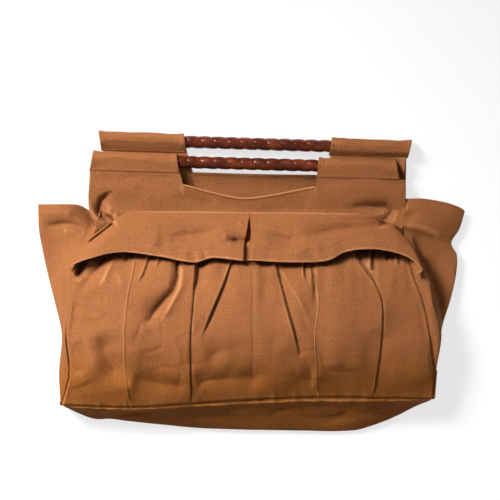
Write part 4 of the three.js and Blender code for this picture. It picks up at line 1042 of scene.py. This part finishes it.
def stitch_row(path, beside, sizes):
    """Stitches along a path: places a pitch apart, each a short capsule of six sides laid along the path.
    beside is the same path a little to its left, from which the cloth's outward direction is found."""
    run = np.concatenate([[0], np.linalg.norm(np.diff(path, axis=0), axis=1).cumsum()])
    pitch, half = sizes.stitch_pitch / MM, sizes.stitch_length / MM / 2
    at = np.arange(pitch, run[-1] - pitch, pitch)

    def sample(line, offset=0.0):
        return np.stack([np.interp(at + offset, run, line[:, k]) for k in range(3)], axis=-1)

    centre = sample(path)
    along = sample(path, 0.5) - sample(path, -0.5)
    along /= np.linalg.norm(along, axis=1, keepdims=True)
    normal = np.cross(along, sample(beside) - centre)
    normal /= np.linalg.norm(normal, axis=1, keepdims=True)
    across = np.cross(normal, along)
    reach = np.array([-1, -0.86, -0.5, 0.5, 0.86, 1])
    girth = np.array([0, 0.6, 1, 1, 0.6, 0]) * sizes.stitch_width / MM / 2
    sink = np.array([-0.5, -0.3, 0, 0, -0.3, -0.5]) * sizes.stitch_width / MM
    turn = np.arange(STITCH_SIDES) / STITCH_SIDES * 2 * np.pi
    out = girth * np.sin(turn)[:, None] + sink
    side = girth * np.cos(turn)[:, None]
    spread = [part[:, None, None, :] for part in (centre, along, across, normal)]
    grid = spread[0] + spread[1] * (reach * half)[None, None, :, None]
    grid = grid + spread[2] * side[None, :, :, None] + spread[3] * out[None, :, :, None]
    faces = grid_faces(STITCH_SIDES, len(reach), round_rows=True)
    first = STITCH_SIDES * len(reach) * np.arange(len(at))
    faces = (faces[None] + first[:, None, None]).reshape(-1, 4)
    return grid.reshape(-1, 3), faces


def add_stitches(name, rows, material):
    """Rows of stitches joined as one piece."""
    counts = np.cumsum([0] + [len(points) for points, _ in rows])
    points = np.concatenate([points for points, _ in rows])
    faces = np.concatenate([faces + first for (_, faces), first in zip(rows, counts)])
    piece = add_piece(name, points, faces[:, ::-1], material)
    merge_poles(piece)
    return piece


# Materials


def put(tree, kind, inputs=None, **settings):
    """Adds a node, sets its options, and links or sets its inputs."""
    node = tree.nodes.new(kind)
    for name, value in settings.items():
        setattr(node, name, value)
    for key, value in (inputs or {}).items():
        if isinstance(value, bpy.types.NodeSocket):
            tree.links.new(value, node.inputs[key])
        else:
            node.inputs[key].default_value = value
    return node


def sums(tree, operation, *values):
    """A Math node's result."""
    return put(tree, "ShaderNodeMath", dict(enumerate(values)), operation=operation).outputs[0]


def tint(tree, factor, low, high, blend="MIX"):
    """A colour mixed by a factor."""
    node = put(tree, "ShaderNodeMix", data_type="RGBA", blend_type=blend)
    sockets = [socket for socket in node.inputs if socket.enabled]
    for socket, value in zip(sockets, (factor, low, high)):
        if isinstance(value, bpy.types.NodeSocket):
            tree.links.new(value, socket)
        else:
            socket.default_value = value
    return next(socket for socket in node.outputs if socket.enabled)


def ramp(tree, value, low, high, to_low=0.0, to_high=1.0):
    """A value eased from one range to another and held at its ends."""
    inputs = {"Value": value, 1: low, 2: high, 3: to_low, 4: to_high}
    return put(tree, "ShaderNodeMapRange", inputs, interpolation_type="SMOOTHSTEP").outputs[0]


def noise(tree, vector, scale, detail=2.0, stretch=None):
    """Noise on a vector, which may be stretched first."""
    if stretch:
        vector = put(tree, "ShaderNodeMapping", {"Vector": vector, "Scale": stretch}).outputs[0]
    inputs = {"Vector": vector, "Scale": scale, "Detail": detail}
    return put(tree, "ShaderNodeTexNoise", inputs).outputs["Fac"]


def roughen(tree, shader, height, strength, distance):
    """Bump on a shader's surface, its distance in metres."""
    bump = put(tree, "ShaderNodeBump", {"Height": height, "Strength": strength, "Distance": distance})
    tree.links.new(bump.outputs["Normal"], shader.inputs["Normal"])


def shader_group(name, inputs, outputs):
    """An empty shader group with named sockets: its tree, its inputs and its output node."""
    tree = bpy.data.node_groups.new(name, "ShaderNodeTree")
    for label, kind in inputs:
        tree.interface.new_socket(label, in_out="INPUT", socket_type=f"NodeSocket{kind}")
    for label, kind in outputs:
        tree.interface.new_socket(label, in_out="OUTPUT", socket_type=f"NodeSocket{kind}")
    return tree, put(tree, "NodeGroupInput").outputs, put(tree, "NodeGroupOutput").inputs


def weave_group():
    """Plain weave: warp and weft threads as half sines of the cloth's two distances, each over the other
    in turn where the product of the two sines changes sign. Threads wander, and some are thicker."""
    tree, given, out = shader_group(
        "Plain weave",
        [("Cloth", "Vector"), ("Thread", "Float")],
        [("Height", "Float"), ("Slub", "Float")],
    )
    drift = noise(tree, given["Cloth"], scale=90.0, detail=1.0)
    parts = put(tree, "ShaderNodeSeparateXYZ", {0: given["Cloth"]}).outputs
    sines = []
    for part in parts[:2]:
        wandering = sums(tree, "MULTIPLY_ADD", drift, 0.0012, part)
        turns = sums(tree, "DIVIDE", wandering, given["Thread"])
        sines.append(sums(tree, "SINE", sums(tree, "MULTIPLY", turns, np.pi)))
    over = ramp(tree, sums(tree, "MULTIPLY", *sines), -0.25, 0.25)
    warp, weft = (sums(tree, "ABSOLUTE", sine) for sine in sines)
    height = sums(tree, "ADD", weft, sums(tree, "MULTIPLY", over, sums(tree, "SUBTRACT", warp, weft)))
    along = noise(tree, given["Cloth"], scale=1.0, stretch=(900.0, 45.0, 1.0))
    across = noise(tree, given["Cloth"], scale=1.0, stretch=(45.0, 900.0, 1.0))
    slub = sums(tree, "MULTIPLY", sums(tree, "ADD", along, across), 0.5)
    tree.links.new(sums(tree, "MULTIPLY_ADD", slub, 0.9, height), out["Height"])
    tree.links.new(slub, out["Slub"])
    return tree


def crest_wear_and_shade_group():
    """Handling: a colour made paler on crests and deeper in grooves, by the piece's own crest mark."""
    tree, given, out = shader_group(
        "Crest wear and painted light",
        [("Colour", "Color"), ("Pale", "Color"), ("Painted shade", "Color"), ("Amount", "Float")],
        [("Colour", "Color")],
    )
    mark = put(tree, "ShaderNodeAttribute", attribute_name="crest").outputs["Fac"]
    paler = sums(tree, "MULTIPLY", ramp(tree, mark, *CREST_PALE), given["Amount"])
    # painted shade: grooves darken towards the painted shade colour
    groove_shade = ramp(tree, mark, *CREST_PAINTED_SHADE)
    colour = tint(tree, paler, given["Colour"], given["Pale"])
    tree.links.new(tint(tree, groove_shade, colour, given["Painted shade"]), out["Colour"])
    return tree


def shared_group(name, build):
    """A shader group, built once."""
    return bpy.data.node_groups.get(name) or build()


def new_material(name):
    """An empty node material: its tree, its shader and a texture coordinate node's outputs."""
    material = bpy.data.materials.new(name)
    material.use_nodes = True
    tree = material.node_tree
    coordinates = put(tree, "ShaderNodeTexCoord").outputs
    return material, tree, tree.nodes["Principled BSDF"], coordinates


def once(build):
    """Turns a function that makes a material into one that first looks for a material of that name."""

    def find(name, *values):
        return bpy.data.materials.get(name) or build(name, *values)

    find.__doc__ = build.__doc__
    return find


def shade(colour, factor):
    """A colour made lighter or darker, with full alpha."""
    return (*(min(1.0, channel * factor) for channel in colour), 1.0)


@once
def canvas_material(name, colour, thread):
    """Cotton canvas: weave and slubs along the cloth, faded patches, pale crests and deep grooves, browner
    with use towards the base."""
    material, tree, shader, coordinates = new_material(name)
    weave = put(tree, "ShaderNodeGroup", node_tree=shared_group("Plain weave", weave_group))
    tree.links.new(coordinates["UV"], weave.inputs["Cloth"])
    weave.inputs["Thread"].default_value = thread
    patches = noise(tree, coordinates["Object"], scale=22.0, detail=4.0)
    mottle = noise(tree, coordinates["UV"], scale=520.0)
    base = tint(tree, ramp(tree, patches, 0.3, 0.7), shade(colour, 0.95), shade(colour, 1.12))
    base = tint(tree, ramp(tree, mottle, 0.36, 0.64), base, shade(colour, 0.74))
    base = tint(tree, ramp(tree, weave.outputs["Slub"], 0.36, 0.64, 0.0, 0.55), base, shade(colour, 1.2))
    wear_and_shade = put(tree, "ShaderNodeGroup", node_tree=shared_group("Crest wear and painted light", crest_wear_and_shade_group))
    tree.links.new(base, wear_and_shade.inputs["Colour"])
    pale = [0.3 * own + 0.7 * bare for own, bare in zip(colour, CREST_PALE_TONE)]
    wear_and_shade.inputs["Pale"].default_value = (*pale, 1.0)
    # the painted shade colour for grooves
    wear_and_shade.inputs["Painted shade"].default_value = shade(colour, 0.3)
    wear_and_shade.inputs["Amount"].default_value = CREST_WEAR_AND_HIGHLIGHT
    # painted shade: the canvas is darkened and browned towards the base
    up_bag = put(tree, "ShaderNodeSeparateXYZ", {"Vector": coordinates["Object"]}).outputs["Y"]
    low_painted_shade = tint(tree, ramp(tree, up_bag, *LOW_PAINTED_SHADE_FROM), wear_and_shade.outputs["Colour"], LOW_PAINTED_SHADE, "MULTIPLY")
    tree.links.new(low_painted_shade, shader.inputs["Base Color"])
    rough = ramp(tree, weave.outputs["Height"], 0.2, 1.4, 0.96, 0.82)
    tree.links.new(rough, shader.inputs["Roughness"])
    shader.inputs["Specular IOR Level"].default_value = 0.07
    roughen(tree, shader, weave.outputs["Height"], strength=0.5, distance=0.00035)
    return material


@once
def leather_material(name, dark, light):
    """Glossy wound leather: each turn has its own tone, deeper towards its edges, with a fine grain."""
    material, tree, shader, coordinates = new_material(name)
    tone = put(tree, "ShaderNodeAttribute", attribute_name="tone").outputs["Fac"]
    across = put(tree, "ShaderNodeAttribute", attribute_name="phase").outputs["Fac"]
    stain = noise(tree, coordinates["Object"], scale=70.0, detail=3.0)
    blend = sums(tree, "MULTIPLY_ADD", stain, 0.7, sums(tree, "MULTIPLY", tone, 0.12))
    colour = tint(tree, ramp(tree, blend, 0.3, 0.7), shade(dark, 1), shade(light, 1))
    # painted shade in the grooves between turns: darker near both edges of the strip
    edge = sums(tree, "MAXIMUM", ramp(tree, across, 0.1, 0.0), ramp(tree, across, 0.94, 1.0))
    colour = tint(tree, sums(tree, "MULTIPLY", edge, 0.6), colour, shade(dark, 0.2))
    tree.links.new(colour, shader.inputs["Base Color"])
    grain = put(tree, "ShaderNodeTexVoronoi", {"Vector": coordinates["Object"], "Scale": 1300.0})
    tree.links.new(ramp(tree, stain, 0.3, 0.7, 0.16, 0.28), shader.inputs["Roughness"])
    shader.inputs["Specular Tint"].default_value = (1.0, 0.78, 0.66, 1.0)
    roughen(tree, shader, grain.outputs["Distance"], strength=0.2, distance=0.0002)
    return material


@once
def wood_material(name, colour):
    """Plain rod wood: fibres stretched along the rod."""
    material, tree, shader, coordinates = new_material(name)
    fibres = noise(tree, coordinates["Object"], scale=1.0, detail=4.0, stretch=(14.0, 420.0, 420.0))
    tone = tint(tree, ramp(tree, fibres, 0.3, 0.7), shade(colour, 0.7), shade(colour, 1.15))
    tree.links.new(tone, shader.inputs["Base Color"])
    tree.links.new(ramp(tree, fibres, 0.3, 0.7, 0.7, 0.5), shader.inputs["Roughness"])
    roughen(tree, shader, fibres, strength=0.2, distance=0.0003)
    return material


@once
def thread_material(name, colour):
    """Sewing thread: a plain cotton tone broken by its twist."""
    material, tree, shader, coordinates = new_material(name)
    twist = noise(tree, coordinates["Object"], scale=1400.0, detail=1.0)
    tone = tint(tree, twist, shade(colour, 0.75), shade(colour, 1.2))
    tree.links.new(tone, shader.inputs["Base Color"])
    tree.links.new(ramp(tree, twist, 0.3, 0.7, 0.9, 0.7), shader.inputs["Roughness"])
    return material


def floor_material(name, colour):
    """A pale matt surface with a trace of unevenness."""
    material, tree, shader, coordinates = new_material(name)
    speck = noise(tree, coordinates["Object"], scale=3.0)
    tone = tint(tree, speck, shade(colour, 0.985), shade(colour, 1.0))
    tree.links.new(tone, shader.inputs["Base Color"])
    shader.inputs["Roughness"].default_value = 0.9
    shader.inputs["Specular IOR Level"].default_value = 0.1
    shader.inputs["Emission Color"].default_value = (1.0, 0.995, 1.0, 1.0)
    shader.inputs["Emission Strength"].default_value = 0.72
    return material


# Settings


class BagSizes(bpy.types.PropertyGroup):
    """Sizes of the bag's cloth and sewing."""

    canvas: bpy.props.FloatProperty(
        name="Canvas", description="Thickness of a canvas wall",
        default=0.0013, min=0.0005, unit="LENGTH",
    )
    pleat_lift: bpy.props.FloatProperty(
        name="Pleat lift", description="How far a box pleat stands above the front",
        default=0.0015, unit="LENGTH",
    )
    pleat_overlap: bpy.props.FloatProperty(
        name="Pleat overlap", description="How far a pleat's edge doubles back",
        default=0.0031, unit="LENGTH",
    )
    hem_width: bpy.props.FloatProperty(
        name="Hem width", description="Width of the flap's turned hem",
        default=0.011, unit="LENGTH",
    )
    thread: bpy.props.FloatProperty(
        name="Thread", description="Spacing of the canvas's threads",
        default=0.0009, precision=5, unit="LENGTH",
    )
    stitch_pitch: bpy.props.FloatProperty(
        name="Stitch pitch", description="From one stitch to the next",
        default=0.0036, precision=4, unit="LENGTH",
    )
    stitch_length: bpy.props.FloatProperty(
        name="Stitch length", description="Length of one stitch",
        default=0.0028, precision=4, unit="LENGTH",
    )
    stitch_width: bpy.props.FloatProperty(
        name="Stitch width", description="Thickness of the sewing thread",
        default=0.0007, precision=4, unit="LENGTH",
    )
    wrap_pitch: bpy.props.FloatProperty(
        name="Wrap pitch", description="From one turn of leather to the next",
        default=0.0147, unit="LENGTH",
    )


class BagColours(bpy.types.PropertyGroup):
    """Colours of the bag and its floor."""

    canvas: bpy.props.FloatVectorProperty(
        name="Canvas", description="Tan of the canvas",
        default=(0.202, 0.0735, 0.0255), subtype="COLOR",
    )
    leather_dark: bpy.props.FloatVectorProperty(
        name="Dark leather", description="Deep tone of the wound leather",
        default=(0.045, 0.006, 0.002), subtype="COLOR",
    )
    leather_light: bpy.props.FloatVectorProperty(
        name="Light leather", description="Worn tone of the wound leather",
        default=(0.16, 0.027, 0.006), subtype="COLOR",
    )
    wood: bpy.props.FloatVectorProperty(
        name="Wood", description="Colour of the rods",
        default=(0.36, 0.22, 0.1), subtype="COLOR",
    )
    thread: bpy.props.FloatVectorProperty(
        name="Thread", description="Colour of the sewing thread",
        default=(0.24, 0.085, 0.027), subtype="COLOR",
    )
    floor: bpy.props.FloatVectorProperty(
        name="Floor", description="Colour of the floor",
        default=(0.2, 0.2, 0.2), subtype="COLOR",
    )


def settings():
    """The bag's sizes and colours in this scene."""
    scene = bpy.context.scene
    return scene.bag_sizes, scene.bag_colours


def canvas():
    """The canvas material in the scene's colour."""
    sizes, colours = settings()
    return canvas_material("Tan canvas", tuple(colours.canvas), sizes.thread)


def body_grids():
    """The front and the two gussets that hang from its side seams."""
    sizes, _ = settings()
    front, _ = front_surface(sizes)
    left = gusset_surface(
        LEFT_GUSSET, LEFT_EAR_RISE, front[:, 0], side=-1,
        folds=LEFT_EAR_FOLDS, edges=(), seed=11,
    )
    right = gusset_surface(
        RIGHT_GUSSET, RIGHT_EAR_RISE, front[:, -1], side=1,
        folds=RIGHT_EAR_FOLDS, edges=RIGHT_EAR_EDGES, seed=13,
    )
    return front, left, right


# Operators


class BAG_OT_stage(bpy.types.Operator):
    """Floor, lights and camera"""

    bl_idname = "bag.stage"
    bl_label = "Stage"

    def execute(self, context):
        scene = context.scene
        camera = bpy.data.objects.new("Camera", bpy.data.cameras.new("Camera"))
        camera.location = CAMERA_PLACE
        camera.data.lens = CAMERA_LENS
        camera.data.clip_end = 50.0
        scene.collection.objects.link(camera)
        scene.camera = camera
        _, colours = settings()
        ticks = np.linspace(-FLOOR_HALF, FLOOR_HALF, FLOOR_POINTS)
        grid = stack(*np.meshgrid(ticks, ticks), -FLOOR_DROP)
        pale = floor_material("Pale floor", tuple(colours.floor))
        floor = add_piece("floor", grid.reshape(-1, 3), grid_faces(*grid.shape[:2]), pale)
        world = bpy.data.worlds.new("Studio")
        scene.world = world
        scene.view_settings.view_transform = "Standard"
        world.use_nodes = True
        background = world.node_tree.nodes["Background"].inputs
        background["Color"].default_value = STUDIO_COLOUR
        background["Strength"].default_value = STUDIO_STRENGTH
        for name, (place, aim, size, spread, power, colour) in LIGHTS.items():
            light = bpy.data.lights.new(name, "AREA")
            light.size = size
            light.spread = np.radians(spread)
            light.energy = power
            light.color = colour
            lamp = bpy.data.objects.new(name, light)
            lamp.location = place
            lamp.rotation_euler = (Vector(aim) - lamp.location).to_track_quat("-Z", "Y").to_euler()
            scene.collection.objects.link(lamp)
        return {"FINISHED"}


class BAG_OT_front(bpy.types.Operator):
    """Pleated front of the body"""

    bl_idname = "bag.front"
    bl_label = "Front panel"

    def execute(self, context):
        sizes, _ = settings()
        grid, rim_highlights = front_surface(sizes)
        x, y = grid[..., 0], grid[..., 1]
        # painted shade: the front is marked darker just under the flap's hem
        below_hem = np.interp(x, FLAP["hemX"][:-1], FLAP["hemY"][:-1]) - y
        drop = mix(*HEM_SHADE_DROPS, smooth(x, *HEM_SHADE_EASE))
        shaded = HEM_SHADE * (1 - smooth(below_hem, 0, drop))
        front = add_cloth("front", grid, canvas(), sizes.canvas, painted_light=rim_highlights - shaded)
        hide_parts("front_panel")
        return {"FINISHED"}


class BAG_OT_gussets(bpy.types.Operator):
    """Side gussets with their folded ears"""

    bl_idname = "bag.gussets"
    bl_label = "Side gussets"

    def execute(self, context):
        sizes, _ = settings()
        _, left, right = body_grids()
        for name, node, grid in (
            ("left_gusset", "gusset_left", left[:, ::-1]),
            ("right_gusset", "gusset_right", right),
        ):
            gusset = add_cloth(name, grid, canvas(), sizes.canvas)
            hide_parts(node)
        return {"FINISHED"}


class BAG_OT_base(bpy.types.Operator):
    """Base panel between front and back"""

    bl_idname = "bag.base"
    bl_label = "Base panel"

    def execute(self, context):
        sizes, _ = settings()
        grid = base_surface(*body_grids())
        # painted highlight along the base's ridge
        across = np.linspace(1, 0, len(grid))[:, None]
        painted_light = BASE_HIGHLIGHT * bell(across - BASE_HIGHLIGHT_AT, BASE_HIGHLIGHT_REACH)
        base = add_cloth("base", grid, canvas(), sizes.canvas, painted_light=painted_light)
        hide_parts("base_panel")
        return {"FINISHED"}


class BAG_OT_back(bpy.types.Operator):
    """Plain back, flat on the floor"""

    bl_idname = "bag.back"
    bl_label = "Back panel"

    def execute(self, context):
        sizes, _ = settings()
        _, left, right = body_grids()
        back = add_cloth("back", back_surface(left, right), canvas(), sizes.canvas)
        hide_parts("back_panel")
        return {"FINISHED"}


class BAG_OT_flap(bpy.types.Operator):
    """Hemmed flap over the gathered top of the front"""

    bl_idname = "bag.flap"
    bl_label = "Front flap"

    def execute(self, context):
        sizes, _ = settings()
        grid = flap_grid(sizes)
        # painted highlight along the flap's hem, and along its seam except towards its two ends
        hem, top = (np.linalg.norm(grid - edge, axis=-1) for edge in (grid[:1], grid[-1:]))
        straight = 1 - smooth(np.abs(grid[..., 0]), *FLAP_HIGHLIGHT_TO)
        painted_light = FLAP_HIGHLIGHT * bell(hem, FLAP_HIGHLIGHT_REACH) + FLAP_HIGHLIGHT * bell(top, FLAP_HIGHLIGHT_REACH) * straight
        flap = add_cloth("flap", grid, canvas(), sizes.canvas, painted_light=painted_light)
        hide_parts("front_flap")
        return {"FINISHED"}


class BAG_OT_yokes(bpy.types.Operator):
    """Front and rear yokes with their hand holes"""

    bl_idname = "bag.yokes"
    bl_label = "Yokes"

    def execute(self, context):
        sizes, _ = settings()
        front_sides = YOKE_BOTTOM["x"][0], YOKE_BOTTOM["x"][-1]
        front = yoke_grid(FRONT_HANDLE, FRONT_HOLE, front_sides, yoke_bottom, front_yoke_surface, 44)
        rear = yoke_grid(REAR_HANDLE, REAR_HOLE, REAR_SIDES, REAR_BOTTOM, rear_yoke_surface, 40)
        for name, node, grid, hole, flat in (
            ("front_upper", "front_yoke", front, FRONT_HOLE, (0.35, 0.04)),
            ("rear_upper", "rear_yoke", rear, REAR_HOLE, (0.345, 0.062)),
        ):
            # painted highlight along the hand hole's hem
            yoke = add_cloth(name, grid, canvas(), sizes.canvas, painted_light=hole_highlight(grid, hole))
            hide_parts(node)
        return {"FINISHED"}


class BAG_OT_casings(bpy.types.Operator):
    """Four cloth casings that hold the rods"""

    bl_idname = "bag.casings"
    bl_label = "Rod casings"

    def execute(self, context):
        sizes, _ = settings()
        for prefix, handle, more in (("front", FRONT_HANDLE, 0), ("rear", REAR_HANDLE, REAR_SEEDS)):
            for side, seed in CASING_SEEDS.items():
                grid = casing_surface(handle, handle[side], seed + more)
                name = f"{prefix}_{side}_casing"
                casing = add_cloth(name, grid, canvas(), sizes.canvas, round_rows=True)
        return {"FINISHED"}


class BAG_OT_rods(bpy.types.Operator):
    """Plain rods inside the casings"""

    bl_idname = "bag.rods"
    bl_label = "Rods"

    def execute(self, context):
        _, colours = settings()
        wood = wood_material("Rod wood", tuple(colours.wood))
        for prefix, handle in (("front", FRONT_HANDLE), ("rear", REAR_HANDLE)):
            grid = rod_surface(handle)
            faces = grid_faces(*grid.shape[:2], round_rows=True)
            rod = add_piece(f"{prefix}_dowel", grid.reshape(-1, 3), faces, wood)
            merge_poles(rod)
            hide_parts(f"{prefix}_rod")
        return {"FINISHED"}


class BAG_OT_wraps(bpy.types.Operator):
    """Leather strips wound round the rods"""

    bl_idname = "bag.wraps"
    bl_label = "Leather wraps"

    def execute(self, context):
        sizes, colours = settings()
        dark, light = tuple(colours.leather_dark), tuple(colours.leather_light)
        leather = leather_material("Wound leather", dark, light)
        for prefix, handle in (("front", FRONT_HANDLE), ("rear", REAR_HANDLE)):
            grid, tone, phase = wrap_surface(handle, sizes.wrap_pitch / MM)
            faces = grid_faces(*grid.shape[:2], round_rows=True, round_columns=True)
            marks = {"tone": tone, "phase": phase}
            wrap = add_piece(f"{prefix}_winding", grid.reshape(-1, 3), faces, leather, marks=marks)
            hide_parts(f"{prefix}_wrap")
        return {"FINISHED"}


class BAG_OT_stitches(bpy.types.Operator):
    """Visible rows of stitching"""

    bl_idname = "bag.stitches"
    bl_label = "Stitching"

    def execute(self, context):
        sizes, colours = settings()
        thread = thread_material("Canvas thread", tuple(colours.thread))
        hems = []
        for span in HEM_STITCHED:
            s = np.linspace(*span, HEM_POINTS)
            t = flap_hem_share(s, sizes)
            hems.append(stitch_row(flap_surface(s, t, sizes), flap_surface(s, t - 0.02, sizes), sizes))
        add_stitches("flap_stitches", hems, thread)
        casings = []
        for handle in (FRONT_HANDLE, REAR_HANDLE):
            for side, seed in CASING_SEEDS.items():
                grid = casing_surface(handle, handle[side], seed)
                casings.append(stitch_row(grid[2], grid[3], sizes))
        add_stitches("casing_stitches", casings, thread)
        return {"FINISHED"}


class BAG_PT_panel(bpy.types.Panel):
    """Lists the bag's settings and its pieces"""

    bl_idname = "BAG_PT_panel"
    bl_label = "Canvas handbag"
    bl_space_type = "VIEW_3D"
    bl_region_type = "UI"
    bl_category = "Bag"

    def draw(self, context):
        layout = self.layout
        for group in settings():
            column = layout.column(align=True)
            for name in group.bl_rna.properties.keys():
                if name not in {"rna_type", "name"}:
                    column.prop(group, name)
        for operator in OPERATORS:
            layout.operator(operator.bl_idname)


OPERATORS = (
    BAG_OT_stage,
    BAG_OT_front,
    BAG_OT_gussets,
    BAG_OT_base,
    BAG_OT_back,
    BAG_OT_flap,
    BAG_OT_yokes,
    BAG_OT_casings,
    BAG_OT_rods,
    BAG_OT_wraps,
    BAG_OT_stitches,
)
CLASSES = (BagSizes, BagColours, *OPERATORS, BAG_PT_panel)


def register():
    """Registers the classes and hangs the settings on the scene."""
    for cls in CLASSES:
        bpy.utils.register_class(cls)
    bpy.types.Scene.bag_sizes = bpy.props.PointerProperty(type=BagSizes)
    bpy.types.Scene.bag_colours = bpy.props.PointerProperty(type=BagColours)


def unregister():
    """Takes the settings and the classes away again."""
    del bpy.types.Scene.bag_colours
    del bpy.types.Scene.bag_sizes
    for cls in reversed(CLASSES):
        bpy.utils.unregister_class(cls)


def main():
    """Makes the stage and every piece, then notes the model's two boxes."""
    register()
    for operator in OPERATORS:
        getattr(bpy.ops.bag, operator.bl_idname.split(".")[1])()


if __name__ == "__main__":
    main()
